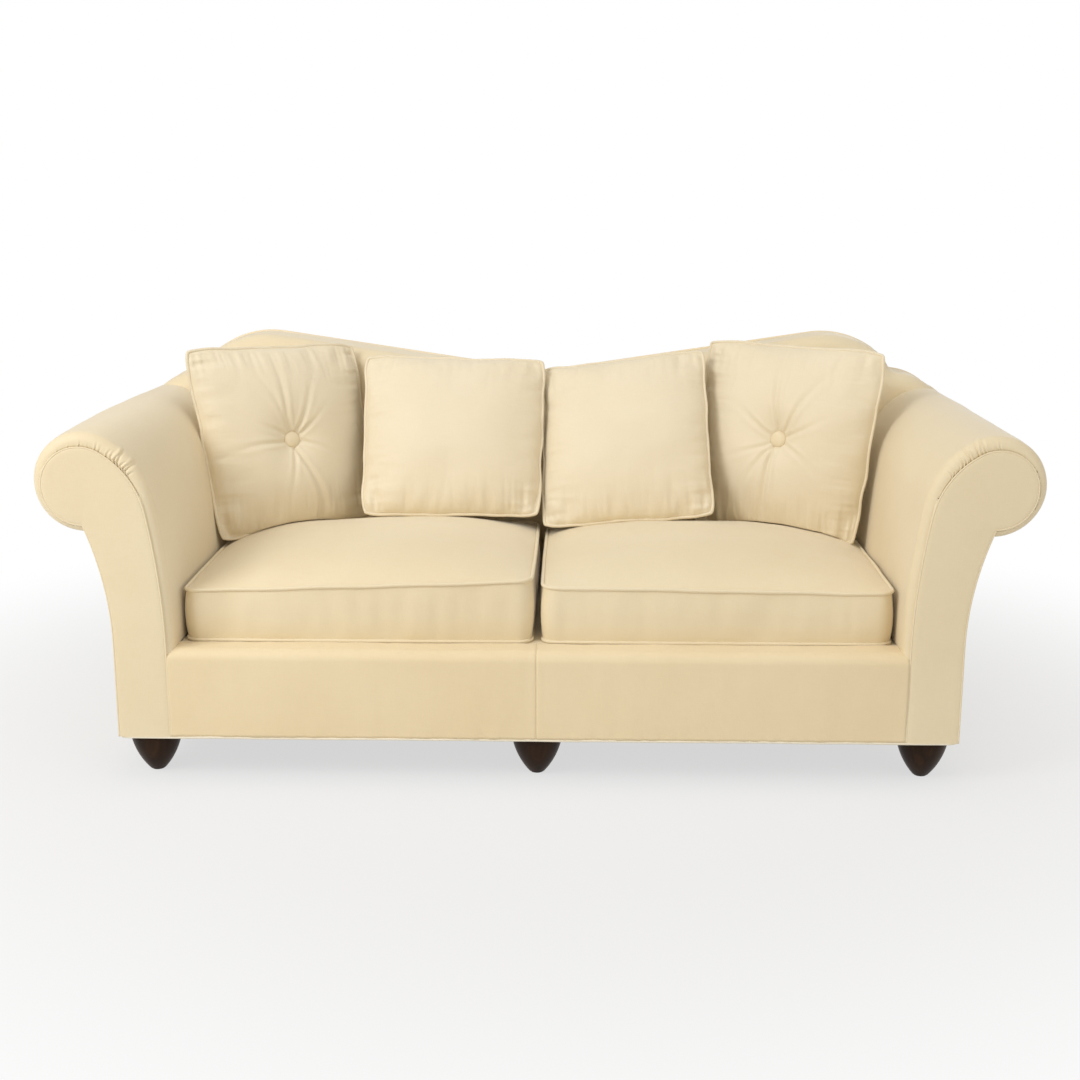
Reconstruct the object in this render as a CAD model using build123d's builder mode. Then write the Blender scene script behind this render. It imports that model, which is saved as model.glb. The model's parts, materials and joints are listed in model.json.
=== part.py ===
from build123d import *

import os
from math import acos, cos, degrees, radians, sin, tan

# Rolled arm sofa: a hardwood frame on six turned feet, webbed seat and back, padded
# scroll arms, a double-hump back, two loose seat cushions and four loose pillows.
# Millimetres, +X to the right as seen from the front, +Y to the back, +Z up, with the
# origin on the floor under the middle. Left and right are as seen from the front.

os.makedirs("parts", exist_ok=True)

# Overall sizes
DEPTH = 920.0  # arm front panels to the outside back
FOOT_HEIGHT = 100.0  # floor to the lower edge of the covers
ARM_HEIGHT = 773.0  # floor to the top of the padded rolls
BACK_HEIGHT = 904.0  # floor to the top of the humps
SEAT_HALF_WIDTH = 805.0  # middle to the inner edge of an arm front panel
ARM_THICKNESS = 113.0  # an arm front panel across its foot

# Arms
ROLL_OVERHANG = 51.0  # middle of the panel's scroll outside the arm's outer face
ROLL_RADIUS = 107.5  # padded roll
ROLL_PAD_SHIFT = 3.5  # padded roll's middle nearer the seat than the scroll's
ROLL_PAD_RISE = 5.5  # padded roll's middle above the scroll's
PANEL_ROLL_RADIUS = 84.0  # scroll of the front panel and the boards
CREST_ANGLE = radians(60.0)  # slope, from upright, where the neck runs into the roll
NECK_ANGLE = radians(11.0)  # slope, from upright, where the two neck curves meet
UPPER_NECK_SHARE = 1.564  # radius of the upper neck over the neck's reach
UNDER_RADIUS = 711.0  # curve of the outer face below the roll
INNER_PAD = 16.0  # seat side of the arm outside its panel's edge
ARM_EDGE_RADIUS = 22.0  # front edge of the padded arm
ARM_SETBACK = 4.0  # padded arm behind the face of its panel
FORM_THICKNESS = 4.0  # bent board that carries the arm's padding
ROLL_RAIL_WIDTH = 90.0
ROLL_RAIL_HEIGHT = 45.0
TACK_RAIL_WIDTH = 28.0
TACK_RAIL_HEIGHT = 60.0
TACK_RAIL_SETBACK = 2.0  # tacking rail behind the form
PANEL_THICKNESS = 10.0
PANEL_EDGE_RADIUS = 4.0
BOARD_THICKNESS = 18.0

# Covers and padding
COVER = 3.0  # every cover
LAYER_GAP = 0.3  # one soft layer clear of the next
DUST_COVER = 1.5
BASE_WELT_RADIUS = 4.0
WELT_CORNER_RADIUS = 20.0

# Base
RAIL_THICKNESS = 32.0
RAIL_HEIGHT = 168.0
END_RAIL_THICKNESS = 28.0
STRETCHER_WIDTH = 90.0
STRETCHER_HEIGHT = 40.0
BLOCK_LEG = 120.0
BLOCK_HEIGHT = 50.0
BORDER_RADIUS = 25.0  # rounded upper edge of the front border
BORDER_DEPTH = 70.0  # border cover's reach over the deck
BORDER_SHELF = 44.0  # border padding's reach over the front rail
DECK_DROP = 3.0  # deck below the top of the front border
DECK_PAD = 19.0
STRAP_THICKNESS = 2.0
STRAP_WIDTH = 60.0
STRAP_COUNT = 5  # front-to-back straps on each side of the middle
STRAP_PITCH = 155.0
CROSS_STRAP_COUNT = 3
CROSS_STRAP_PITCH = 190.0

# Back
BACK_BASE_DEPTH = 232.0  # back's front face to the outside back, at the deck
BACK_LEAN = radians(10.0)
PEAK_INSET = 80.0  # top of a hump inside the inner edge of the arm front panel
HUMP_RADIUS = 230.0
HUMP_RISE = radians(8.5)  # slope from the valley up to a hump
HUMP_FALL = radians(34.0)  # slope where the hump turns into its shoulder
SHOULDER_RADIUS = 90.0
SHOULDER_FALL = radians(65.0)
NOTCH_RADIUS = 35.0
WING_SLOPE = radians(6.0)
WING_RADIUS = 150.0
VALLEY_RADIUS = 250.0
BACK_EDGE_RADIUS = 48.0
BACK_RIM = 55.0  # padding round the frame of the back
POST_INSET = 70.0  # inner side of an outer post inside the inner edge of the arm front panel
POST_WIDTH = 35.0
POST_DEPTH = 70.0
TOP_RAIL_THICKNESS = 28.0
TOP_RAIL_DROP = 224.0  # lower edge of the top rail below the top of the humps
TACK_RAIL_GAP = 24.0  # back's lower rail above the deck
BACK_STRAP_COUNT = 4
BACK_STRAP_PITCH = 170.0

# Feet
FOOT_TOP_RADIUS = 56.0
FOOT_WAIST_RADIUS = 43.5  # halfway down
FOOT_TOE_RADIUS = 18.0
FOOT_BAND = 18.0  # upright band at the top
FOOT_INSET = 75.0  # foot's middle behind the front panels, and before the outside back
FOOT_SIDE_INSET = 62.0  # foot's middle inside the arm's outer face
GLIDE_RADIUS = 14.0
GLIDE_HEIGHT = 3.0
BOLT_RADIUS = 4.0
BOLT_IN_FOOT = 40.0
BOLT_LENGTH = 75.0
NUT_RADIUS = 5.5
NUT_FLANGE_RADIUS = 11.0
NUT_FLANGE = 1.5
NUT_HEIGHT = 17.0
BORE_GAP = 0.2

# Seat cushions
CUSHION_SIDE_GAP = 10.0
CUSHION_MIDDLE_GAP = 24.0
CUSHION_SETBACK = 75.0  # behind the arm front panels
CUSHION_REAR_GAP = 6.0
CUSHION_BOXING = 127.0
CUSHION_CROWN = 66.0
CUSHION_BOW = 5.0  # boxing bowed out halfway up
CUSHION_SEAM_BOW = 1.5  # seams bowed out between the corners
CUSHION_SWELL = 140.0  # how fast the crown's outline turns round

# Levels of a crown, as shares of the full outline, from the seam to the top
CROWN_LEVELS = (1.0, 0.92, 0.8, 0.62, 0.4, 0.16)

# Pillows
PLAIN_WIDTH = 432.0
PLAIN_HEIGHT = 420.0
PLAIN_THICKNESS = 150.0
BUTTON_WIDTH = 420.0
BUTTON_HEIGHT = 446.0
BUTTON_THICKNESS = 160.0
PILLOW_DRAW = 14.0  # sides drawn in between the corners
PILLOW_SWELL = 90.0  # how fast a face's outline turns round
PILLOW_FULLNESS = 2.4  # power by which the faces fall to the edge
PILLOW_DRAW_FADE = 4  # power by which the draw fades from the edge
PLAIN_LEAN = radians(29.0)
LEFT_PLAIN_TURN = radians(1.0)
RIGHT_PLAIN_TURN = radians(-9.0)
LEFT_PLAIN_ROLL = radians(-0.8)
RIGHT_PLAIN_ROLL = radians(5.0)
BUTTON_LEAN = radians(13.0)
BUTTON_TURN = radians(33.0)
LEFT_PLAIN_SEAT = 50.4  # lower corners above the cushion's seam
RIGHT_PLAIN_SEAT = 39.4
LEFT_BUTTON_SEAT = 26.9
RIGHT_BUTTON_SEAT = 29.4
LEFT_PLAIN_BACK_GAP = 28.0  # upper edge in front of the back, where the pillow's crown bears
RIGHT_PLAIN_BACK_GAP = 3.6
BUTTON_BACK_GAP = 10.9
LEFT_BUTTON_SIDE_GAP = 2.0  # lower corner clear of the arm
RIGHT_BUTTON_SIDE_GAP = 26.0
PILLOW_MIDDLE_GAP = 6.0
TUFT_RADIUS = 95.0
TUFT_DEPTH = 42.0
TUFT_BEND_REACH = 0.35  # share of the way from a pit's floor to its rim
TUFT_BEND_RISE = 0.62  # share of the pit's depth at that place
BUTTON_RADIUS = 21.0
BUTTON_DOME = 9.0
BUTTON_RIM = 4.0
TWINE_RADIUS = 1.5

# Places that follow from the sizes
FRONT = -DEPTH / 2
REAR = DEPTH / 2
ARM_OUTSIDE = SEAT_HALF_WIDTH + ARM_THICKNESS
ROLL_X = ARM_OUTSIDE + ROLL_OVERHANG
PADDED_ROLL_X = ROLL_X - ROLL_PAD_SHIFT
PADDED_ROLL_Z = ARM_HEIGHT - ROLL_RADIUS
ROLL_Z = PADDED_ROLL_Z - ROLL_PAD_RISE
PADDED_INSIDE = SEAT_HALF_WIDTH - INNER_PAD
PADDED_OUTSIDE = ARM_OUTSIDE + COVER + LAYER_GAP
ARM_MIDDLE = SEAT_HALF_WIDTH + ARM_THICKNESS / 2
COVER_REAR = REAR - COVER  # plane behind which lies only the outside back cover
BOARD_FRONT = FRONT + PANEL_THICKNESS
RAIL_FRONT = BOARD_FRONT + BOARD_THICKNESS
RAIL_BASE = FOOT_HEIGHT + DUST_COVER
RAIL_TOP = RAIL_BASE + RAIL_HEIGHT
STRAP_TOP = RAIL_TOP + STRAP_THICKNESS
PAD_BASE = STRAP_TOP + STRAP_THICKNESS + 2 * LAYER_GAP
DECK_Z = PAD_BASE + DECK_PAD + LAYER_GAP + COVER
BORDER_TOP = DECK_Z + DECK_DROP
ARM_PAD_BASE = BORDER_TOP + LAYER_GAP
BACK_Y = REAR - BACK_BASE_DEPTH  # back's front face at the deck
BACK_BASE = DECK_Z + LAYER_GAP
FRAME_FRONT = COVER_REAR - POST_DEPTH  # front of the back's frame
PEAK_X = SEAT_HALF_WIDTH - PEAK_INSET
POST_X = SEAT_HALF_WIDTH - POST_INSET
TOP_RAIL_BASE = BACK_HEIGHT - TOP_RAIL_DROP
FOOT_X = ARM_OUTSIDE - FOOT_SIDE_INSET
FOOT_Y = REAR - FOOT_INSET


def upright(y):
    """Plane facing the front at depth y, with X across and Z up."""
    return Plane.XZ.offset(-y)


def finish(part, name):
    """Label a finished piece and write it."""
    part.label = name
    export_step(part, f"parts/{name}.step")


def finish_pair(right, name):
    """Write a piece of the right arm and its mirror image on the left."""
    finish(right, f"right_{name}")
    with BuildPart() as left:
        mirror(right, about=Plane.YZ)
    finish(left.part, f"left_{name}")


# Arms: outlines and volumes


def scroll_outline(inner_x, outer_x, roll_x, roll_z, roll_radius, base_z):
    """An arm from the front: up the seat side, over the roll and down the outside."""
    crest_x = roll_x - roll_radius * cos(CREST_ANGLE)
    crest_z = roll_z + roll_radius * sin(CREST_ANGLE)
    reach = crest_x - inner_x
    upper_radius = UPPER_NECK_SHARE * reach
    upper_reach = upper_radius * (cos(NECK_ANGLE) - cos(CREST_ANGLE))
    lower_radius = (reach - upper_reach) / (1 - cos(NECK_ANGLE))
    upper_rise = upper_radius * (sin(CREST_ANGLE) - sin(NECK_ANGLE))
    neck_z = crest_z - upper_rise - lower_radius * sin(NECK_ANGLE)
    under_turn = acos(1 - (roll_x - outer_x) / UNDER_RADIUS)
    under_z = roll_z - roll_radius - UNDER_RADIUS * sin(under_turn)
    inside = Line((inner_x, base_z), (inner_x, neck_z))
    lower = JernArc(inside @ 1, inside % 1, lower_radius, -degrees(NECK_ANGLE))
    upper = JernArc(lower @ 1, lower % 1, upper_radius, -degrees(CREST_ANGLE - NECK_ANGLE))
    JernArc(upper @ 1, upper % 1, roll_radius, degrees(CREST_ANGLE) - 270)
    outside = Line((outer_x, base_z), (outer_x, under_z))
    JernArc(outside @ 1, outside % 1, UNDER_RADIUS, -degrees(under_turn))
    Line(inside @ 0, outside @ 0)


def board_prism(grow, base_z, front_y, rear_y):
    """The front panel's outline, grown a little, between two depths."""
    with BuildPart() as prism:
        with BuildSketch(upright(rear_y)):
            with BuildLine():
                scroll_outline(
                    SEAT_HALF_WIDTH - grow,
                    ARM_OUTSIDE + grow,
                    ROLL_X,
                    ROLL_Z,
                    PANEL_ROLL_RADIUS + grow,
                    base_z,
                )
            make_face()
        extrude(amount=rear_y - front_y)
    return prism.part


def padded_prism(inset, front_y):
    """The padded arm's outline, taken in a little, from a depth to the outside back."""
    with BuildPart() as prism:
        with BuildSketch(upright(COVER_REAR)):
            with BuildLine():
                scroll_outline(
                    PADDED_INSIDE + inset,
                    PADDED_OUTSIDE - inset,
                    PADDED_ROLL_X,
                    PADDED_ROLL_Z,
                    ROLL_RADIUS - inset,
                    FOOT_HEIGHT,
                )
            make_face()
        extrude(amount=COVER_REAR - front_y)
    return prism.part


def padded_arm(inset):
    """The padded arm with its rounded front edge."""
    with BuildPart() as arm:
        add(padded_prism(inset, FRONT + ARM_SETBACK + inset))
        front_edges = arm.faces().sort_by(Axis.Y)[0].edges()
        above_base = front_edges.filter_by(lambda edge: edge.center().Z > FOOT_HEIGHT)
        padded = above_base.filter_by(
            lambda edge: edge.center().X < ARM_MIDDLE or edge.center().Z > ROLL_Z
        )
        fillet(padded, ARM_EDGE_RADIUS - inset)
    return arm.part


padded_outer = padded_arm(0)
padded_under = padded_arm(COVER)
padding_outer = padded_arm(COVER + LAYER_GAP)
board_room = board_prism(LAYER_GAP, FOOT_HEIGHT, FRONT, COVER_REAR)
under_roll = PADDED_ROLL_Z - ROLL_RADIUS

with BuildPart() as arm_cover:
    add(padded_outer)
    add(padded_under, mode=Mode.SUBTRACT)
    add(board_room, mode=Mode.SUBTRACT)
    with BuildSketch(Plane.XY.offset(FOOT_HEIGHT)):
        with Locations((ARM_MIDDLE, 0)):
            Rectangle(ROLL_X, DEPTH, align=(Align.MAX, Align.CENTER))
    extrude(amount=ARM_PAD_BASE - FOOT_HEIGHT, mode=Mode.SUBTRACT)
    with BuildSketch(Plane.XY.offset(FOOT_HEIGHT)):
        with Locations((ARM_MIDDLE, 0)):
            Rectangle(ROLL_X, DEPTH, align=(Align.MIN, Align.CENTER))
    extrude(amount=under_roll - FOOT_HEIGHT, mode=Mode.SUBTRACT)
finish_pair(arm_cover.part, "arm_cover")

with BuildPart() as outside_arm_cover:
    add(padded_outer)
    add(padded_under, mode=Mode.SUBTRACT)
    add(board_room, mode=Mode.SUBTRACT)
    with BuildSketch(Plane.XY.offset(FOOT_HEIGHT)):
        with Locations((ARM_MIDDLE, 0)):
            Rectangle(ROLL_X, DEPTH, align=(Align.MIN, Align.CENTER))
    extrude(amount=under_roll - FOOT_HEIGHT, mode=Mode.INTERSECT)
finish_pair(outside_arm_cover.part, "outside_arm_cover")

with BuildPart() as arm_padding:
    add(padding_outer)
    add(board_room, mode=Mode.SUBTRACT)
    with BuildSketch(Plane.XY.offset(FOOT_HEIGHT)):
        with Locations((ARM_MIDDLE, 0)):
            Rectangle(ROLL_X, DEPTH, align=(Align.MAX, Align.CENTER))
    extrude(amount=ARM_PAD_BASE + COVER - FOOT_HEIGHT, mode=Mode.SUBTRACT)
    with BuildSketch(Plane.XY.offset(FOOT_HEIGHT)):
        with Locations((ARM_MIDDLE, 0)):
            Rectangle(ROLL_X - ARM_MIDDLE, DEPTH, align=(Align.MIN, Align.CENTER))
    extrude(amount=ROLL_Z - FOOT_HEIGHT, mode=Mode.SUBTRACT)
finish_pair(arm_padding.part, "arm_padding")

with BuildPart() as arm_front_panel:
    add(board_prism(0, FOOT_HEIGHT, FRONT, BOARD_FRONT))
    panel_edges = arm_front_panel.faces().sort_by(Axis.Y)[0].edges()
    fillet(panel_edges, PANEL_EDGE_RADIUS)
finish_pair(arm_front_panel.part, "arm_front_panel")

with BuildPart() as arm_front_board:
    add(board_prism(0, RAIL_BASE, BOARD_FRONT, RAIL_FRONT))
finish_pair(arm_front_board.part, "arm_front_board")

with BuildPart() as arm_rear_board:
    add(board_prism(0, RAIL_TOP, COVER_REAR - BOARD_THICKNESS, COVER_REAR))
finish_pair(arm_rear_board.part, "arm_rear_board")

rear_board_front = COVER_REAR - BOARD_THICKNESS
form_length = rear_board_front - RAIL_FRONT

with BuildPart() as arm_form:
    add(board_prism(0, RAIL_BASE, RAIL_FRONT, rear_board_front))
    add(board_prism(-FORM_THICKNESS, RAIL_BASE, RAIL_FRONT, rear_board_front), mode=Mode.SUBTRACT)
    with BuildSketch(Plane.XY):
        with Locations((ARM_MIDDLE, 0)):
            Rectangle(ROLL_X, DEPTH, align=(Align.MAX, Align.CENTER))
    extrude(amount=ARM_PAD_BASE, mode=Mode.SUBTRACT)
    with BuildSketch(Plane.XY):
        with Locations((ARM_MIDDLE, 0)):
            Rectangle(ROLL_X, DEPTH, align=(Align.MIN, Align.CENTER))
    extrude(amount=ROLL_Z - PANEL_ROLL_RADIUS, mode=Mode.SUBTRACT)
finish_pair(arm_form.part, "arm_form")


def side_rails(name, x, z, width, height):
    """A pair of rails between the front and rear boards of the arms, as one node."""
    with BuildPart() as rails:
        with BuildSketch(upright(rear_board_front)):
            with Locations((x, z), (-x, z)):
                Rectangle(width, height)
        extrude(amount=form_length)
    finish(rails.part, name)


tack_x = SEAT_HALF_WIDTH + FORM_THICKNESS + TACK_RAIL_SETBACK + TACK_RAIL_WIDTH / 2
tack_z = ARM_PAD_BASE + TACK_RAIL_HEIGHT / 2
side_rails("arm_roll_rails", ROLL_X, ROLL_Z, ROLL_RAIL_WIDTH, ROLL_RAIL_HEIGHT)
side_rails("arm_tack_rails", tack_x, tack_z, TACK_RAIL_WIDTH, TACK_RAIL_HEIGHT)

# Base: rails, stretcher, corner blocks and feet

front_rail_rear = RAIL_FRONT + RAIL_THICKNESS
rear_rail_front = COVER_REAR - RAIL_THICKNESS
rail_span = rear_rail_front - front_rail_rear
rail_middle_y = (rear_rail_front + front_rail_rear) / 2
end_rail_inside = ARM_OUTSIDE - END_RAIL_THICKNESS


def rails(name, places, width, depth):
    """Straight rails standing on the dust cover."""
    with BuildPart() as boards:
        with BuildSketch(Plane.XY.offset(RAIL_BASE)):
            with Locations(*places):
                Rectangle(width, depth)
        extrude(amount=RAIL_HEIGHT)
    finish(boards.part, name)


def nut_room():
    """Clear the tee nuts of the feet from the block or stretcher being made."""
    with Locations(*[(x, y, RAIL_BASE) for x, y in foot_places.values()]):
        Cylinder(
            NUT_RADIUS + BORE_GAP,
            BLOCK_HEIGHT,
            align=(Align.CENTER, Align.CENTER, Align.MIN),
            mode=Mode.SUBTRACT,
        )
        Cylinder(
            NUT_FLANGE_RADIUS + BORE_GAP,
            NUT_FLANGE,
            align=(Align.CENTER, Align.CENTER, Align.MIN),
            mode=Mode.SUBTRACT,
        )


foot_places = {}
for end, foot_y in (("front", -FOOT_Y), ("rear", FOOT_Y)):
    for side, foot_x in (("left", -FOOT_X), ("center", 0), ("right", FOOT_X)):
        foot_places[f"{side}_{end}_foot"] = (foot_x, foot_y)

end_rail_x = ARM_OUTSIDE - END_RAIL_THICKNESS / 2
end_rail_places = [(-end_rail_x, rail_middle_y), (end_rail_x, rail_middle_y)]
rails("front_rail", [(0, RAIL_FRONT + RAIL_THICKNESS / 2)], 2 * ARM_OUTSIDE, RAIL_THICKNESS)
rails("rear_rail", [(0, COVER_REAR - RAIL_THICKNESS / 2)], 2 * ARM_OUTSIDE, RAIL_THICKNESS)
rails("end_rails", end_rail_places, END_RAIL_THICKNESS, rail_span)

with BuildPart() as center_stretcher:
    with BuildSketch(Plane.XY.offset(RAIL_BASE)):
        with Locations((0, rail_middle_y)):
            Rectangle(STRETCHER_WIDTH, rail_span)
    extrude(amount=STRETCHER_HEIGHT)
    nut_room()
finish(center_stretcher.part, "center_stretcher")

with BuildPart() as corner_blocks:
    with BuildSketch(Plane.XY.offset(RAIL_BASE)):
        for corner_x in (-end_rail_inside, end_rail_inside):
            for corner_y in (front_rail_rear, rear_rail_front):
                leg_x = corner_x - BLOCK_LEG * (1 if corner_x > 0 else -1)
                leg_y = corner_y - BLOCK_LEG * (1 if corner_y > 0 else -1)
                with BuildLine():
                    Polyline((corner_x, corner_y), (leg_x, corner_y), (corner_x, leg_y), close=True)
                make_face()
    extrude(amount=BLOCK_HEIGHT)
    nut_room()
finish(corner_blocks.part, "corner_blocks")

for foot_name, (foot_x, foot_y) in foot_places.items():
    foot_plane = Plane((foot_x, foot_y, 0), x_dir=(1, 0, 0), z_dir=(0, -1, 0))
    with BuildPart() as foot:
        with BuildSketch(foot_plane):
            with BuildLine():
                toe = Line((0, GLIDE_HEIGHT), (FOOT_TOE_RADIUS, GLIDE_HEIGHT))
                band_z = FOOT_HEIGHT - FOOT_BAND
                waist = (FOOT_WAIST_RADIUS, (GLIDE_HEIGHT + band_z) / 2)
                swell = ThreePointArc(toe @ 1, waist, (FOOT_TOP_RADIUS, band_z))
                Polyline(swell @ 1, (FOOT_TOP_RADIUS, FOOT_HEIGHT), (0, FOOT_HEIGHT), toe @ 0)
            make_face()
        revolve(axis=Axis((foot_x, foot_y, 0), (0, 0, 1)))
        with Locations((foot_x, foot_y, FOOT_HEIGHT)):
            Hole(BOLT_RADIUS + BORE_GAP, BOLT_IN_FOOT)
    finish(foot.part, foot_name)


def foot_fittings(name, rings):
    """One round fitting for each foot: rings of (radius, bottom, height, bore)."""
    with BuildPart() as fittings:
        for radius, bottom, height, bore in rings:
            with BuildSketch(Plane.XY.offset(bottom)):
                with Locations(*foot_places.values()):
                    Circle(radius)
                    if bore > 0:
                        Circle(bore, mode=Mode.SUBTRACT)
            extrude(amount=height)
    finish(fittings.part, name)


nut_bore = BOLT_RADIUS + BORE_GAP
foot_fittings("foot_glides", [(GLIDE_RADIUS, 0, GLIDE_HEIGHT, 0)])
foot_fittings("foot_bolts", [(BOLT_RADIUS, FOOT_HEIGHT - BOLT_IN_FOOT, BOLT_LENGTH, 0)])
foot_fittings(
    "foot_tee_nuts",
    [
        (NUT_FLANGE_RADIUS, RAIL_BASE, NUT_FLANGE, nut_bore),
        (NUT_RADIUS, RAIL_BASE, NUT_HEIGHT, nut_bore),
    ],
)

with BuildPart() as dust_cover:
    with BuildSketch(Plane.XY.offset(FOOT_HEIGHT)):
        with Locations((0, (BOARD_FRONT + COVER_REAR) / 2)):
            Rectangle(2 * ARM_OUTSIDE, COVER_REAR - BOARD_FRONT)
        with Locations(*foot_places.values()):
            Circle(BOLT_RADIUS + BORE_GAP, mode=Mode.SUBTRACT)
    extrude(amount=DUST_COVER)
finish(dust_cover.part, "dust_cover")

with BuildPart() as base_welt:
    welt_z = FOOT_HEIGHT - BASE_WELT_RADIUS
    welt_half_width = PADDED_OUTSIDE - BASE_WELT_RADIUS
    welt_half_depth = REAR - BASE_WELT_RADIUS
    with BuildLine(Plane.XY.offset(welt_z)) as welt_path:
        FilletPolyline(
            (-welt_half_width, -welt_half_depth),
            (welt_half_width, -welt_half_depth),
            (welt_half_width, welt_half_depth),
            (-welt_half_width, welt_half_depth),
            radius=WELT_CORNER_RADIUS,
            close=True,
        )
    welt_wire = welt_path.wire()
    with BuildSketch(Plane(welt_wire @ 0, z_dir=welt_wire % 0)):
        Circle(BASE_WELT_RADIUS)
    sweep(path=welt_wire)
finish(base_welt.part, "base_welt")

# Seat platform: front border, webbing, deck pad and deck cover

border_half_width = SEAT_HALF_WIDTH - LAYER_GAP


def border_outline(inset, reach):
    """Front border from the side, with its rounded upper edge."""
    face = Line((FRONT + inset, FOOT_HEIGHT), (FRONT + inset, BORDER_TOP - BORDER_RADIUS))
    edge = JernArc(face @ 1, face % 1, BORDER_RADIUS - inset, -90)
    Polyline(edge @ 1, (FRONT + reach, BORDER_TOP - inset), (FRONT + reach, FOOT_HEIGHT), face @ 0)


with BuildPart() as front_border_padding:
    with BuildSketch(Plane.YZ.offset(-border_half_width)):
        with BuildLine():
            border_outline(COVER + LAYER_GAP, BORDER_SHELF)
        make_face()
        with Locations((RAIL_FRONT, FOOT_HEIGHT)):
            Rectangle(DEPTH, RAIL_TOP - FOOT_HEIGHT, align=(Align.MIN, Align.MIN), mode=Mode.SUBTRACT)
        with Locations((FRONT, FOOT_HEIGHT)):
            Rectangle(DEPTH, DUST_COVER + LAYER_GAP, align=(Align.MIN, Align.MIN), mode=Mode.SUBTRACT)
    extrude(amount=2 * border_half_width)
finish(front_border_padding.part, "front_border_padding")

for side, border_x in (("left", -border_half_width), ("right", 0)):
    with BuildPart() as front_border:
        with BuildSketch(Plane.YZ.offset(border_x)):
            with BuildLine():
                border_outline(0, BORDER_DEPTH)
            make_face()
            with BuildLine():
                border_outline(COVER, BORDER_DEPTH)
            make_face(mode=Mode.SUBTRACT)
        extrude(amount=border_half_width)
    finish(front_border.part, f"{side}_front_border")

strap_front = FRONT + BORDER_SHELF + LAYER_GAP
strap_places = [sign * STRAP_PITCH * (i + 0.5) for sign in (-1, 1) for i in range(STRAP_COUNT)]
strap_places.sort()
over_z = STRAP_TOP + LAYER_GAP
under_z = RAIL_TOP - LAYER_GAP - STRAP_THICKNESS
seat_middle_y = (strap_front + BACK_Y) / 2

with BuildPart() as seat_webbing_long:
    with BuildSketch(Plane.XY.offset(RAIL_TOP)):
        with Locations(*[(x, (strap_front + COVER_REAR) / 2) for x in strap_places]):
            Rectangle(STRAP_WIDTH, COVER_REAR - strap_front)
    extrude(amount=STRAP_THICKNESS)
finish(seat_webbing_long.part, "seat_webbing_long")

with BuildPart() as seat_webbing_cross:
    for row in range(CROSS_STRAP_COUNT):
        row_y = seat_middle_y + (row - (CROSS_STRAP_COUNT - 1) / 2) * CROSS_STRAP_PITCH
        lower_edge = [(-ARM_OUTSIDE, RAIL_TOP), (-end_rail_inside, RAIL_TOP)]
        for i, strap_x in enumerate(strap_places):
            level = over_z if (i + row) % 2 == 0 else under_z
            lower_edge.append((strap_x - STRAP_WIDTH / 2 - STRAP_THICKNESS, level))
            lower_edge.append((strap_x + STRAP_WIDTH / 2 + STRAP_THICKNESS, level))
        lower_edge += [(end_rail_inside, RAIL_TOP), (ARM_OUTSIDE, RAIL_TOP)]
        upper_edge = [(x, z + STRAP_THICKNESS) for x, z in reversed(lower_edge)]
        with BuildSketch(upright(row_y + STRAP_WIDTH / 2)):
            with BuildLine():
                Polyline(*lower_edge, *upper_edge, close=True)
            make_face()
        extrude(amount=STRAP_WIDTH)
finish(seat_webbing_cross.part, "seat_webbing_cross")


def deck_layer(name, half_width, base_z, thickness):
    """A flat layer of the seat platform, from the front border to the back."""
    deck_rear = BACK_Y - LAYER_GAP
    with BuildPart() as layer:
        with BuildSketch(Plane.XY.offset(base_z)):
            with Locations((0, (strap_front + deck_rear) / 2)):
                Rectangle(2 * half_width, deck_rear - strap_front)
        extrude(amount=thickness)
    finish(layer.part, name)


deck_layer("seat_deck_pad", border_half_width, PAD_BASE, DECK_PAD)
deck_layer("seat_deck_cover", border_half_width, DECK_Z - COVER, COVER)

# Back: outline, volumes and frame

hump_middle_z = BACK_HEIGHT - HUMP_RADIUS
slope_end_x = PEAK_X - HUMP_RADIUS * sin(HUMP_RISE)
slope_end_z = hump_middle_z + HUMP_RADIUS * cos(HUMP_RISE)
slope_start_x = VALLEY_RADIUS * sin(HUMP_RISE)
slope_start_z = slope_end_z - (slope_end_x - slope_start_x) * tan(HUMP_RISE)
valley_z = slope_start_z - VALLEY_RADIUS * (1 - cos(HUMP_RISE))
slope_length = (slope_end_x - slope_start_x) / cos(HUMP_RISE)
back_normal = Vector(0, cos(BACK_LEAN), -sin(BACK_LEAN))
tuck_x = ROLL_X - PANEL_ROLL_RADIUS / 4  # outline's corner, inside the arm
tuck_z = ROLL_Z - PANEL_ROLL_RADIUS / 2


def back_outline(inset):
    """Right half of the back from the front: valley, hump, shoulder, notch and wing."""
    valley = JernArc((0, valley_z - inset), (1, 0), VALLEY_RADIUS + inset, degrees(HUMP_RISE))
    slope = Line(valley @ 1, (valley @ 1) + (valley % 1) * slope_length)
    hump = JernArc(slope @ 1, slope % 1, HUMP_RADIUS - inset, -degrees(HUMP_RISE + HUMP_FALL))
    shoulder_turn = degrees(SHOULDER_FALL - HUMP_FALL)
    shoulder = JernArc(hump @ 1, hump % 1, SHOULDER_RADIUS - inset, -shoulder_turn)
    notch_turn = degrees(SHOULDER_FALL - WING_SLOPE)
    notch = JernArc(shoulder @ 1, shoulder % 1, NOTCH_RADIUS + inset, notch_turn)
    wing = JernArc(notch @ 1, notch % 1, WING_RADIUS - inset, degrees(WING_SLOPE) - 90)
    Polyline(
        wing @ 1,
        (tuck_x, tuck_z),
        (ARM_MIDDLE, BACK_BASE + inset),
        (0, BACK_BASE + inset),
        valley @ 0,
    )


def back_prism(inset, front_y, rear_y):
    """The back's whole outline, taken in a little, between two depths."""
    with BuildPart() as prism:
        with BuildSketch(upright(rear_y)):
            with BuildLine():
                back_outline(inset)
            make_face()
            mirror(about=Plane.YZ)
        extrude(amount=rear_y - front_y)
    return prism.part


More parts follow.
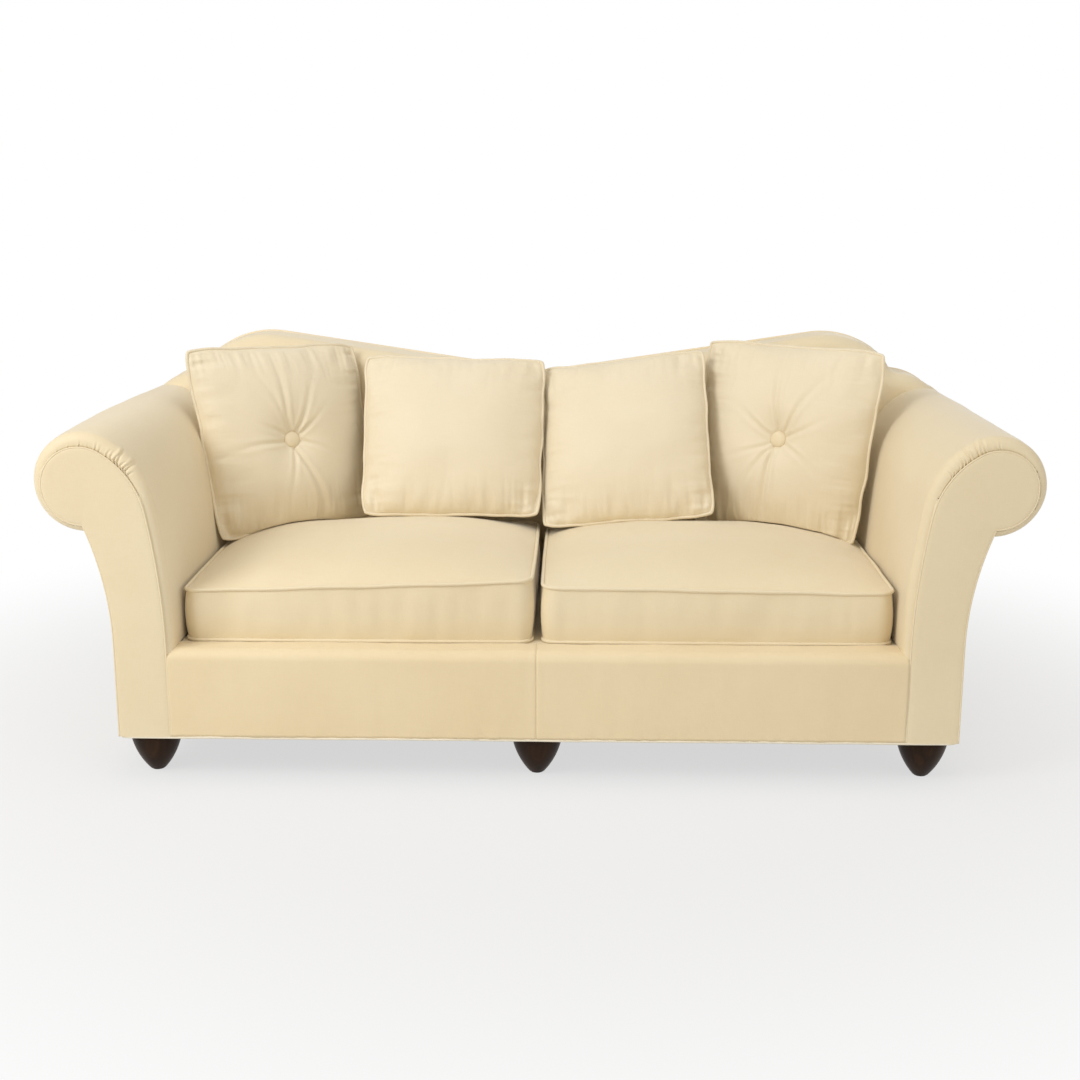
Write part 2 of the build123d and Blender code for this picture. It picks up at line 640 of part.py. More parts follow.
def padded_back(inset):
    """The padded back: leaning front face, rounded over the top, set down on the arm rolls."""
    face_point = Vector(0, BACK_Y, DECK_Z) + back_normal * inset
    with BuildPart() as back:
        add(back_prism(inset, BACK_Y, COVER_REAR))
        split(bisect_by=Plane(face_point, x_dir=(1, 0, 0), z_dir=back_normal), keep=Keep.TOP)
        leaning = back.faces().sort_by(SortBy.AREA)[-2:].sort_by(Axis.Y)[0]
        crest = leaning.edges().filter_by(lambda edge: edge.center().Z > ROLL_Z)
        fillet(crest, BACK_EDGE_RADIUS - inset)
        add(arm_clearance, mode=Mode.SUBTRACT)
        mirror(arm_clearance, about=Plane.YZ, mode=Mode.SUBTRACT)
    return back.part


arm_clearance = padded_prism(-LAYER_GAP, FRONT)
back_outer = padded_back(0)
back_under = padded_back(COVER)

pocket_front = FRAME_FRONT - STRAP_THICKNESS - LAYER_GAP
pocket_half_width = POST_X + POST_WIDTH + LAYER_GAP

with BuildPart() as frame_room:
    add(back_prism(BACK_RIM, pocket_front, COVER_REAR))
    with BuildSketch(Plane.XY):
        with Locations((0, COVER_REAR)):
            Rectangle(2 * pocket_half_width, COVER_REAR - pocket_front, align=(Align.CENTER, Align.MAX))
    extrude(amount=BACK_HEIGHT, mode=Mode.INTERSECT)
    with BuildSketch(Plane.XY.offset(BACK_BASE)):
        with Locations((0, COVER_REAR)):
            Rectangle(2 * pocket_half_width, COVER_REAR - pocket_front, align=(Align.CENTER, Align.MAX))
    extrude(amount=TOP_RAIL_BASE - BACK_BASE)

with BuildPart() as back_cover:
    add(back_outer)
    add(back_under, mode=Mode.SUBTRACT)
    add(frame_room.part, mode=Mode.SUBTRACT)
finish(back_cover.part, "back_cover")

with BuildPart() as back_padding:
    add(padded_back(COVER + LAYER_GAP))
    add(frame_room.part, mode=Mode.SUBTRACT)
finish(back_padding.part, "back_padding")

with BuildPart() as outside_back_cover:
    with BuildSketch(upright(REAR)):
        with BuildLine():
            back_outline(0)
        make_face()
        with BuildLine():
            scroll_outline(
                PADDED_INSIDE,
                PADDED_OUTSIDE,
                PADDED_ROLL_X,
                PADDED_ROLL_Z,
                ROLL_RADIUS,
                FOOT_HEIGHT,
            )
        make_face()
        with Locations((0, FOOT_HEIGHT)):
            Rectangle(ARM_MIDDLE, BACK_BASE + COVER - FOOT_HEIGHT, align=(Align.MIN, Align.MIN))
        mirror(about=Plane.YZ)
    extrude(amount=COVER)
finish(outside_back_cover.part, "outside_back_cover")

with BuildPart() as back_top_rail:
    add(back_prism(BACK_RIM + LAYER_GAP, FRAME_FRONT, FRAME_FRONT + TOP_RAIL_THICKNESS))
    with BuildSketch(Plane.XY.offset(TOP_RAIL_BASE)):
        Rectangle(2 * (POST_X + POST_WIDTH), DEPTH)
    extrude(amount=BACK_HEIGHT, mode=Mode.INTERSECT)
finish(back_top_rail.part, "back_top_rail")

with BuildPart() as back_posts:
    outer_post_x = POST_X + POST_WIDTH / 2
    with BuildSketch(Plane.XY.offset(RAIL_TOP)):
        with Locations((-outer_post_x, COVER_REAR), (0, COVER_REAR), (outer_post_x, COVER_REAR)):
            Rectangle(POST_WIDTH, POST_DEPTH, align=(Align.CENTER, Align.MAX))
    extrude(amount=TOP_RAIL_BASE - RAIL_TOP)
finish(back_posts.part, "back_posts")

back_tack_z = DECK_Z + TACK_RAIL_GAP
back_bay = POST_X - POST_WIDTH / 2
with BuildPart() as back_tack_rails:
    with BuildSketch(Plane.XY.offset(back_tack_z)):
        for sign in (-1, 1):
            with Locations((sign * (POST_WIDTH + back_bay) / 2, FRAME_FRONT)):
                Rectangle(back_bay, TOP_RAIL_THICKNESS, align=(Align.CENTER, Align.MIN))
    extrude(amount=TACK_RAIL_HEIGHT)
finish(back_tack_rails.part, "back_tack_rails")

with BuildPart() as back_webbing:
    with BuildSketch(Plane.XY.offset(back_tack_z)):
        for i in range(BACK_STRAP_COUNT):
            for sign in (-1, 1):
                with Locations((sign * BACK_STRAP_PITCH * (i + 0.5), FRAME_FRONT)):
                    Rectangle(STRAP_WIDTH, STRAP_THICKNESS, align=(Align.CENTER, Align.MAX))
    extrude(amount=TOP_RAIL_BASE + TACK_RAIL_HEIGHT - back_tack_z)
finish(back_webbing.part, "back_webbing")

# Seat cushions: boxed, bowed between the corners and crowned

cushion_inner = CUSHION_MIDDLE_GAP / 2
cushion_outer = PADDED_INSIDE - CUSHION_SIDE_GAP
cushion_front = FRONT + CUSHION_SETBACK
cushion_rear = BACK_Y - CUSHION_REAR_GAP
cushion_x = (cushion_inner + cushion_outer) / 2
cushion_y = (cushion_front + cushion_rear) / 2
cushion_base = DECK_Z + LAYER_GAP
cushion_seam = cushion_base + CUSHION_BOXING


def bowed_outline(half_width, half_height, bow):
    """Four corners joined by arcs that bow out, or in where the bow is negative."""
    lower_right = (half_width, -half_height)
    upper_right = (half_width, half_height)
    upper_left = (-half_width, half_height)
    lower_left = (-half_width, -half_height)
    ThreePointArc(lower_left, (0, -half_height - bow), lower_right)
    ThreePointArc(lower_right, (half_width + bow, 0), upper_right)
    ThreePointArc(upper_right, (0, half_height + bow), upper_left)
    ThreePointArc(upper_left, (-half_width - bow, 0), lower_left)


def cushion_volume(inset):
    """The right seat cushion, taken in a little all round."""
    half_width = (cushion_outer - cushion_inner) / 2 - inset
    half_depth = (cushion_rear - cushion_front) / 2 - inset
    base = cushion_base + inset
    seam = cushion_seam - inset
    boxing_levels = ((base, CUSHION_SEAM_BOW), ((base + seam) / 2, CUSHION_BOW), (seam, CUSHION_SEAM_BOW))
    with BuildPart() as cushion:
        for level, bow in boxing_levels:
            with BuildSketch(Plane((cushion_x, cushion_y, level))):
                with BuildLine():
                    bowed_outline(half_width, half_depth, bow)
                make_face()
        loft()
        for share in CROWN_LEVELS:
            with BuildSketch(Plane((cushion_x, cushion_y, seam + CUSHION_CROWN * (1 - share**2)))):
                with BuildLine():
                    turn = CUSHION_SEAM_BOW + CUSHION_SWELL * share * (1 - share)
                    bowed_outline(share * half_width, share * half_depth, turn)
                make_face()
        loft()
    return cushion.part


with BuildPart() as cushion_cover:
    add(cushion_volume(0))
    add(cushion_volume(COVER), mode=Mode.SUBTRACT)
finish_pair(cushion_cover.part, "seat_cushion_cover")

with BuildPart() as cushion_core:
    add(cushion_volume(COVER + LAYER_GAP))
finish_pair(cushion_core.part, "seat_cushion_core")

# Pillows: two crowned halves that meet in a drawn-in knife edge


def pillow_plane(middle_x, width, height, turn, lean, roll, seat, back_gap):
    """Face plane of a pillow that stands on a cushion and leans on the back."""
    half_rise = height / 2 * cos(lean) + width / 2 * abs(sin(roll)) * cos(lean)
    middle_z = cushion_seam + seat + half_rise
    back_face_y = BACK_Y + (middle_z + half_rise - DECK_Z) * tan(BACK_LEAN)
    corner_reach = width / 2 * abs(sin(turn)) + height / 2 * sin(lean) * cos(turn)
    middle_y = back_face_y - corner_reach - back_gap
    across = (cos(turn), sin(turn), 0)
    facing = (sin(turn) * cos(lean), -cos(turn) * cos(lean), sin(lean))
    return Plane((middle_x, middle_y, middle_z), x_dir=across, z_dir=facing).rotated((0, 0, degrees(roll)))


def pillow_volume(plane, width, height, thickness, inset):
    """A plain pillow, taken in a little: its edge moves in twice as far as its faces."""
    half_width = width / 2 - 2 * inset
    half_height = height / 2 - 2 * inset
    with BuildPart() as pillow:
        for face in (1, -1):
            for share in CROWN_LEVELS:
                rise = (thickness / 2 - inset) * (1 - share**PILLOW_FULLNESS)
                with BuildSketch(plane.offset(face * rise)):
                    with BuildLine():
                        turn = PILLOW_SWELL * share * (1 - share) - PILLOW_DRAW * share**PILLOW_DRAW_FADE
                        bowed_outline(share * half_width, share * half_height, turn)
                    make_face()
            loft()
    return pillow.part


def tuft_section(thickness, inset):
    """Half of the pit that a button draws into a pillow, beside the pillow's axis."""
    floor = thickness / 2 - TUFT_DEPTH - inset
    floor_radius = BUTTON_RADIUS + LAYER_GAP + inset
    rim_radius = TUFT_RADIUS + inset
    rim = thickness / 2 - inset
    bend_radius = floor_radius + TUFT_BEND_REACH * (rim_radius - floor_radius)
    bend = (bend_radius, floor + TUFT_BEND_RISE * (rim - floor))
    base = Line((0, floor), (floor_radius, floor))
    side = ThreePointArc(base @ 1, bend, (rim_radius, rim))
    Polyline(side @ 1, (rim_radius, thickness), (0, thickness), base @ 0)


def tufted_volume(plane, inset):
    """A button pillow, taken in a little, with its two pits and the twine's hole."""
    with BuildPart() as pillow:
        add(pillow_volume(plane, BUTTON_WIDTH, BUTTON_HEIGHT, BUTTON_THICKNESS, inset))
        for section_plane in pit_planes(plane):
            with BuildSketch(section_plane):
                with BuildLine():
                    tuft_section(BUTTON_THICKNESS, inset)
                make_face()
            revolve(axis=Axis(plane.origin, plane.z_dir), mode=Mode.SUBTRACT)
        with BuildSketch(plane):
            Circle(TWINE_RADIUS + LAYER_GAP)
        extrude(amount=BUTTON_THICKNESS, both=True, mode=Mode.SUBTRACT)
    return pillow.part


def pit_planes(plane):
    """Planes through a pillow's axis, one for each face, with Y out of that face."""
    return [
        Plane(plane.origin, x_dir=plane.x_dir, z_dir=-plane.y_dir),
        Plane(plane.origin, x_dir=plane.x_dir, z_dir=plane.y_dir),
    ]


def plain_pillow(name, plane):
    """Cover and insert of a plain pillow."""
    shell_outer = pillow_volume(plane, PLAIN_WIDTH, PLAIN_HEIGHT, PLAIN_THICKNESS, 0)
    shell_inner = pillow_volume(plane, PLAIN_WIDTH, PLAIN_HEIGHT, PLAIN_THICKNESS, COVER)
    with BuildPart() as cover:
        add(shell_outer)
        add(shell_inner, mode=Mode.SUBTRACT)
    finish(cover.part, f"{name}_cover")
    insert = pillow_volume(plane, PLAIN_WIDTH, PLAIN_HEIGHT, PLAIN_THICKNESS, COVER + LAYER_GAP)
    finish(insert, f"{name}_insert")


def button_pillow(name, plane):
    """Cover, insert, buttons and twine of a button pillow."""
    shell_outer = tufted_volume(plane, 0)
    shell_inner = tufted_volume(plane, COVER)
    with BuildPart() as cover:
        add(shell_outer)
        add(shell_inner, mode=Mode.SUBTRACT)
    finish(cover.part, f"{name}_cover")
    finish(tufted_volume(plane, COVER + LAYER_GAP), f"{name}_insert")
    floor = BUTTON_THICKNESS / 2 - TUFT_DEPTH + LAYER_GAP
    with BuildPart() as buttons:
        for face in (1, -1):
            with BuildSketch(plane.offset(face * floor)):
                Circle(BUTTON_RADIUS)
            extrude(amount=face * (BUTTON_RIM + BUTTON_DOME))
        rims = buttons.edges().filter_by(GeomType.CIRCLE)
        outer_rims = rims.sort_by(lambda edge: abs(plane.to_local_coords(edge.center()).Z))[-2:]
        fillet(outer_rims, BUTTON_DOME)
        with BuildSketch(plane):
            Circle(TWINE_RADIUS)
        extrude(amount=floor - LAYER_GAP, both=True)
    finish(buttons.part, f"{name}_buttons")


for side, sign, turn, roll, seat, back_gap in (
    ("left", -1, LEFT_PLAIN_TURN, LEFT_PLAIN_ROLL, LEFT_PLAIN_SEAT, LEFT_PLAIN_BACK_GAP),
    ("right", 1, RIGHT_PLAIN_TURN, RIGHT_PLAIN_ROLL, RIGHT_PLAIN_SEAT, RIGHT_PLAIN_BACK_GAP),
):
    height_slant = abs(sin(roll) + sin(PLAIN_LEAN) * sin(turn))
    half_reach = PLAIN_WIDTH / 2 * cos(turn) + PLAIN_HEIGHT / 2 * height_slant
    plain_plane = pillow_plane(
        sign * (PILLOW_MIDDLE_GAP / 2 + half_reach),
        PLAIN_WIDTH,
        PLAIN_HEIGHT,
        turn,
        PLAIN_LEAN,
        roll,
        seat,
        back_gap,
    )
    plain_pillow(f"{side}_plain_pillow", plain_plane)

lower_slant = sin(BUTTON_LEAN) * sin(BUTTON_TURN)
lower_corner_x = BUTTON_WIDTH / 2 * cos(BUTTON_TURN) - BUTTON_HEIGHT / 2 * lower_slant
for side, sign, seat, side_gap in (
    ("left", -1, LEFT_BUTTON_SEAT, LEFT_BUTTON_SIDE_GAP),
    ("right", 1, RIGHT_BUTTON_SEAT, RIGHT_BUTTON_SIDE_GAP),
):
    turned_plane = pillow_plane(
        sign * (PADDED_INSIDE - side_gap - lower_corner_x),
        BUTTON_WIDTH,
        BUTTON_HEIGHT,
        -sign * BUTTON_TURN,
        BUTTON_LEAN,
        0,
        seat,
        BUTTON_BACK_GAP,
    )
    button_pillow(f"{side}_button_pillow", turned_plane)
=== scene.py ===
import json
from math import acos, cos, pi, radians, sin, tan

import bmesh
import bpy
import numpy as np
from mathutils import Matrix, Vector, noise
from mathutils.bvhtree import BVHTree


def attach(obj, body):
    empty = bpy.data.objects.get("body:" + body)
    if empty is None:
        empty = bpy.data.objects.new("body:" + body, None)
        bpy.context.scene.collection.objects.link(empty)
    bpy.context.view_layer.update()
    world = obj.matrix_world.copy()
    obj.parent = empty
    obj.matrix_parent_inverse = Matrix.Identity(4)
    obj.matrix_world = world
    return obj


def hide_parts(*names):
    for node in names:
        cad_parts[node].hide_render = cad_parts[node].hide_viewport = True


# Rolled arm sofa: covers, cushions, pillows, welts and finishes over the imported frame.
# Metres, +X to the right as seen from the front, +Y to the back, +Z up.

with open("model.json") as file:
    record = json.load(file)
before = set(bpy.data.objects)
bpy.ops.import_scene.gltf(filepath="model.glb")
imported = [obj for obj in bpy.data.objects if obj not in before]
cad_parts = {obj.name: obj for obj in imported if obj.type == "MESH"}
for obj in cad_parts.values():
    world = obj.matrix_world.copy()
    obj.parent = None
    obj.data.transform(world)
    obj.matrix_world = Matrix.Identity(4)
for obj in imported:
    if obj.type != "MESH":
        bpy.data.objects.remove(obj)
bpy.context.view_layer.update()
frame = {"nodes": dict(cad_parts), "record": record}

# Sizes shared with the solids
FRONT = -0.460
REAR = 0.460
COVER = 0.003
COVER_REAR = REAR - COVER
FOOT_HEIGHT = 0.100
SEAT_HALF_WIDTH = 0.805
ARM_OUTSIDE = 0.918
ARM_MIDDLE = 0.8615
PADDED_INSIDE = 0.789
PADDED_OUTSIDE = 0.9213
PANEL_ROLL = (0.969, 0.660, 0.084)  # middle across, middle up, radius
PADDED_ROLL = (0.9655, 0.6655, 0.1075)
CREST_ANGLE = radians(60.0)
NECK_ANGLE = radians(11.0)
UPPER_NECK_SHARE = 1.564
UNDER_RADIUS = 0.711
ARM_EDGE_RADIUS = 0.022
ARM_SETBACK = 0.004
PANEL_THICKNESS = 0.010
ARM_PAD_BASE = 0.2997
BORDER_TOP = 0.2994
BORDER_RADIUS = 0.025
BORDER_DEPTH = 0.070
DECK_Z = 0.2964
BACK_BASE = 0.2967
BACK_Y = 0.228
BACK_LEAN = radians(10.0)
BACK_HEIGHT = 0.904
PEAK_X = 0.725
HUMP_RADIUS = 0.230
HUMP_RISE = radians(8.5)
HUMP_FALL = radians(34.0)
SHOULDER_RADIUS = 0.090
SHOULDER_FALL = radians(65.0)
NOTCH_RADIUS = 0.035
WING_SLOPE = radians(6.0)
WING_RADIUS = 0.150
VALLEY_RADIUS = 0.250
BACK_EDGE_RADIUS = 0.048
CUSHION_INNER = 0.012
CUSHION_OUTER = 0.779
CUSHION_FRONT = -0.385
CUSHION_REAR = 0.222
CUSHION_BASE = 0.2967
CUSHION_BOXING = 0.127
CUSHION_CROWN = 0.066
PLAIN_WIDTH = 0.432
PLAIN_HEIGHT = 0.420
PLAIN_THICKNESS = 0.150
BUTTON_WIDTH = 0.420
BUTTON_HEIGHT = 0.446
BUTTON_THICKNESS = 0.160
BUTTON_RADIUS = 0.021
TUFT_DEPTH = 0.042

# Sizes of the looks alone
MM = 0.001
BASE_WELT_RADIUS = 0.0028
FACING_WELT = 0.0020
CUSHION_WELT = 0.0042
PILLOW_WELT = 0.0040
BACK_WELT = 0.0040
THIN_CLOTH = 0.0012  # deck and dust cloth
SHARP_ANGLE = radians(50.0)

# Meshes


def mesh_object(name, points, faces, smooth=True):
    """A mesh object in the row frame from points and faces."""
    mesh = bpy.data.meshes.new(name)
    mesh.from_pydata(np.asarray(points).reshape(-1, 3).tolist(), [], [tuple(map(int, f)) for f in faces])
    mesh.polygons.foreach_set("use_smooth", [smooth] * len(mesh.polygons))
    mesh.update()
    piece = bpy.data.objects.new(name, mesh)
    bpy.context.scene.collection.objects.link(piece)
    return piece


def quads(index, flip=False):
    """Faces of a grid of vertex numbers."""
    a, b, c, d = index[:-1, :-1], index[:-1, 1:], index[1:, 1:], index[1:, :-1]
    order = (a, d, c, b) if flip else (a, b, c, d)
    return np.stack([part.ravel() for part in order], -1)


def surface(name, grid, toward, thickness=COVER):
    """A sheet from a grid of points, facing the given way at its middle, with its thickness inside."""
    rows, cols = grid.shape[:2]
    i, j = rows // 2, cols // 2
    across = grid[i, j + 1] - grid[i, j - 1]
    along = grid[i + 1, j] - grid[i - 1, j]
    flip = np.dot(np.cross(across, along), toward) < 0
    piece = mesh_object(name, grid, quads(np.arange(rows * cols).reshape(rows, cols), flip))
    shell = piece.modifiers.new("thickness", "SOLIDIFY")
    shell.thickness = thickness
    shell.offset = -1.0
    return piece


def tangents(path, closed=False):
    """Unit directions along a path."""
    run = np.roll(path, -1, 0) - np.roll(path, 1, 0) if closed else np.gradient(path, axis=0)
    return run / np.linalg.norm(run, axis=1)[:, None]


def run_length(path):
    """Length along a path at each of its points."""
    return np.concatenate([[0.0], np.cumsum(np.linalg.norm(np.diff(path, axis=0), axis=1))])


def tube(name, path, radius, closed=False, sides=10):
    """A round cord along a path of points."""
    path = np.asarray(path, float)
    tangent = tangents(path, closed)
    side = np.cross(tangent[0], (0.0, 0.0, 1.0) if abs(tangent[0, 2]) < 0.9 else (1.0, 0.0, 0.0))
    sides_at = []
    for t in tangent:
        side = side - np.dot(side, t) * t
        side /= np.linalg.norm(side)
        sides_at.append(side)
    sides_at = np.array(sides_at)
    other = np.cross(tangent, sides_at)
    twist = np.zeros(len(path))
    if closed:
        carried = sides_at[-1] - np.dot(sides_at[-1], tangent[0]) * tangent[0]
        end = np.arctan2(np.dot(carried, other[0]), np.dot(carried, sides_at[0]))
        twist = -np.linspace(0, end, len(path))
    angle = np.linspace(0, 2 * pi, sides, endpoint=False)[None, :] + twist[:, None]
    ring = np.cos(angle)[..., None] * sides_at[:, None] + np.sin(angle)[..., None] * other[:, None]
    points = path[:, None] + radius * ring
    index = np.arange(len(path) * sides).reshape(len(path), sides)
    index = np.concatenate([index, index[:, :1]], 1)
    if closed:
        index = np.concatenate([index, index[:1]], 0)
    faces = list(quads(index, flip=True))
    if not closed:
        faces += [tuple(index[0, :-1]), tuple(index[-1, -2::-1])]
    return mesh_object(name, points, faces)


def ripple(points, scale, height, seed):
    """Smooth noise at each point, up to about the given height."""
    shift = Vector((seed * 7.31, seed * 3.17, seed * 5.23))
    flat = np.asarray(points).reshape(-1, 3)
    values = [noise.noise(Vector(p) * scale + shift) for p in flat]
    return height * np.array(values).reshape(np.asarray(points).shape[:-1])


def swells(points, seed, *waves):
    """Smooth noise of several waves together, each with its waves per metre and its height."""
    return sum(ripple(points, scale, height, seed + k) for k, (scale, height) in enumerate(waves))


def smoothstep(t):
    t = np.clip(t, 0.0, 1.0)
    return t * t * (3 - 2 * t)


def resample(path, count, closed=False):
    """Points at even steps along a path."""
    path = np.asarray(path, float)
    if closed:
        path = np.concatenate([path, path[:1]])
    run = run_length(path)
    steps = np.linspace(0, run[-1], count + 1)[:-1] if closed else np.linspace(0, run[-1], count)
    return np.stack([np.interp(steps, run, path[:, k]) for k in range(path.shape[1])], -1)


def dress(piece, body, nodes, material):
    """Give a piece its body, hide the nodes it replaces, and give it its material."""
    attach(piece, body)
    if nodes:
        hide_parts(*nodes)
    piece.data.materials.clear()
    piece.data.materials.append(material)


# Materials


def feed(tree, node, inputs):
    """Fill a node's inputs, by name or number: an output is linked, and any other value is set."""
    for key, value in inputs.items():
        if isinstance(value, bpy.types.NodeSocket):
            tree.links.new(value, node.inputs[key])
        else:
            node.inputs[key].default_value = value


def add_node(tree, kind, inputs=(), **settings):
    """A node with its settings and inputs."""
    node = tree.nodes.new(kind)
    for key, value in settings.items():
        setattr(node, key, value)
    feed(tree, node, dict(inputs))
    return node


class Nodes:
    """Short names for making the nodes of one material."""

    def __init__(self, name):
        self.material = bpy.data.materials.new(name)
        self.material.use_nodes = True
        self.tree = self.material.node_tree
        self.place = self.add("ShaderNodeTexCoord").outputs["Object"]

    def add(self, kind, inputs=(), **settings):
        return add_node(self.tree, kind, inputs, **settings)

    def noise(self, scale, detail=3.0, stretch=(1, 1, 1), distortion=0.0):
        place = self.add("ShaderNodeMapping", {"Scale": stretch, "Vector": self.place}).outputs["Vector"]
        inputs = {"Scale": scale, "Detail": detail, "Distortion": distortion, "Vector": place}
        return self.add("ShaderNodeTexNoise", inputs).outputs["Fac"]

    def wave(self, axis, scale):
        inputs = {"Scale": scale, "Detail": 2.0, "Vector": self.place}
        return self.add("ShaderNodeTexWave", inputs, bands_direction=axis).outputs["Fac"]

    def math(self, operation, a, b):
        return self.add("ShaderNodeMath", {0: a, 1: b}, operation=operation).outputs[0]

    def ramp(self, factor, *stops):
        """Two colours at their places along a factor."""
        node = self.add("ShaderNodeValToRGB", {"Fac": factor})
        for element, (place, colour) in zip(node.color_ramp.elements, stops):
            element.position = place
            element.color = (*colour, 1.0)
        return node.outputs["Color"]

    def span(self, factor, least, most):
        """A factor from 0 to 1, spread over a span."""
        inputs = {"Value": factor, "To Min": least, "To Max": most}
        return self.add("ShaderNodeMapRange", inputs).outputs["Result"]

    def bump(self, *heights):
        """Normals of a chain of bumps, each with its height, strength and distance."""
        chain = {}
        for height, strength, distance in heights:
            inputs = {"Height": height, "Strength": strength, "Distance": distance, **chain}
            chain = {"Normal": self.add("ShaderNodeBump", inputs).outputs["Normal"]}
        return chain["Normal"]

    def shade(self, **values):
        """Fill the shader's inputs, and give the material."""
        inputs = {key.replace("_", " "): value for key, value in values.items()}
        feed(self.tree, self.tree.nodes["Principled BSDF"], inputs)
        return self.material


def fabric(name, light, dark, threads=900.0, roughness=(0.48, 0.64), sheen=0.42):
    """A fine woven cloth with a soft sheen, faint slubs and slightly uneven colour."""
    n = Nodes(name)
    cloud = n.noise(scale=2.6, detail=4.0, distortion=0.4)
    slub = n.noise(scale=60.0, detail=2.0, stretch=(1, 1, 7))
    weft = n.noise(scale=60.0, detail=2.0, stretch=(7, 1, 1))
    soft = n.noise(scale=22.0, detail=3.0, distortion=0.6)
    tone = n.math("ADD", n.math("MULTIPLY", cloud, 0.7), n.math("MULTIPLY", slub, 0.15))
    tone = n.math("ADD", tone, n.math("MULTIPLY", weft, 0.15))
    weave = n.math("ADD", n.wave("X", threads), n.wave("Z", threads))
    weave = n.math("ADD", weave, n.wave("Y", threads))
    return n.shade(
        Base_Color=n.ramp(tone, (0.32, dark), (0.62, light)),
        Normal=n.bump((soft, 0.10, 0.004), (n.math("ADD", slub, weft), 0.10, 0.0012), (weave, 0.12, 0.0004)),
        Roughness=n.span(cloud, *roughness),
        Sheen_Weight=sheen,
        Sheen_Roughness=0.40,
        Specular_IOR_Level=0.45,
    )


def wood(name, light, dark, grain=(40.0, 40.0, 3.0), roughness=(0.3, 0.45), specular=0.5):
    """Wood with long grain, pores and a slightly uneven finish."""
    n = Nodes(name)
    streak = n.noise(scale=1.0, detail=6.0, stretch=grain, distortion=0.8)
    pore = n.noise(scale=6.0, detail=2.0, stretch=grain)
    return n.shade(
        Base_Color=n.ramp(streak, (0.3, dark), (0.7, light)),
        Normal=n.bump((pore, 0.12, 0.0006)),
        Roughness=n.span(streak, *roughness),
        Specular_IOR_Level=specular,
    )


def plain_finish(name, colour, shade, metallic, roughness):
    """A rigid finish with fine unevenness, for fittings."""
    n = Nodes(name)
    speck = n.noise(scale=180.0, detail=3.0)
    return n.shade(
        Base_Color=n.ramp(speck, (0.35, shade), (0.65, colour)),
        Normal=n.bump((speck, 0.08, 0.0004)),
        Metallic=metallic,
        Roughness=roughness,
    )


COVER_CLOTH = fabric("cover_cloth", (0.830, 0.714, 0.492), (0.782, 0.654, 0.428))
# Pillow cloth is the cover cloth made paler and less saturated: painted light from above on the pillows and
# their welts.
PAINTED_LIGHT_PILLOW_CLOTH = fabric("painted_light_pillow_cloth", (0.832, 0.735, 0.545), (0.786, 0.678, 0.482))
# Border cloth is the cover cloth made darker and more saturated: painted shade on the upright front border.
PAINTED_SHADE_BORDER_CLOTH = fabric("painted_shade_border_cloth", (0.830, 0.690, 0.450), (0.782, 0.632, 0.390))
WELT_CLOTH = fabric("welt_cloth", (0.838, 0.724, 0.506), (0.790, 0.665, 0.445))
EDGE_CLOTH = fabric("edge_cloth", (0.86, 0.79, 0.64), (0.82, 0.74, 0.58))
DUST_CLOTH = fabric("dust_cloth", (0.030, 0.030, 0.031), (0.018, 0.018, 0.019), sheen=0.1)

SLOT_MATERIALS = {
    "cover_fabric": COVER_CLOTH,
    "padding": fabric("padding", (0.87, 0.85, 0.78), (0.80, 0.78, 0.70), threads=300.0),
    "webbing": fabric("jute_webbing", (0.42, 0.30, 0.17), (0.30, 0.20, 0.11), threads=220.0, sheen=0.05),
    "dust_cloth": DUST_CLOTH,
    "frame_wood": wood("frame_wood", (0.52, 0.36, 0.20), (0.38, 0.25, 0.13), roughness=(0.6, 0.8)),
    "form_board": wood("form_board", (0.45, 0.34, 0.21), (0.36, 0.26, 0.15), roughness=(0.75, 0.9)),
    "foot_wood": wood("foot_wood", (0.040, 0.019, 0.008), (0.018, 0.008, 0.004), specular=0.12),
    "steel": plain_finish("zinc_steel", (0.60, 0.60, 0.58), (0.48, 0.48, 0.47), 1.0, 0.35),
    "glide": plain_finish("glide_nylon", (0.050, 0.045, 0.040), (0.035, 0.030, 0.028), 0.0, 0.5),
}
for subpart in frame["record"]["subparts"]:
    solid = frame["nodes"][subpart["node"]]
    solid.data.materials.clear()
    solid.data.materials.append(SLOT_MATERIALS[subpart["material_slot"]])

# Outlines in (across, up)

FACE_POINTS = 22
NECK_POINTS = 150
ROLL_POINTS = 240
UNDER_POINTS = (16, 26)  # up the straight face, then under the roll


def arc(start, heading, radius, turn, count):
    """Points of an arc from a start and a heading, to the left where turn is positive."""
    side = 1.0 if turn > 0 else -1.0
    spoke = radius * side * np.array([sin(heading), -cos(heading)])
    angle = np.linspace(0, turn, count)
    across = spoke[0] * np.cos(angle) - spoke[1] * np.sin(angle)
    up = spoke[0] * np.sin(angle) + spoke[1] * np.cos(angle)
    return np.asarray(start, float) - spoke + np.stack([across, up], -1)


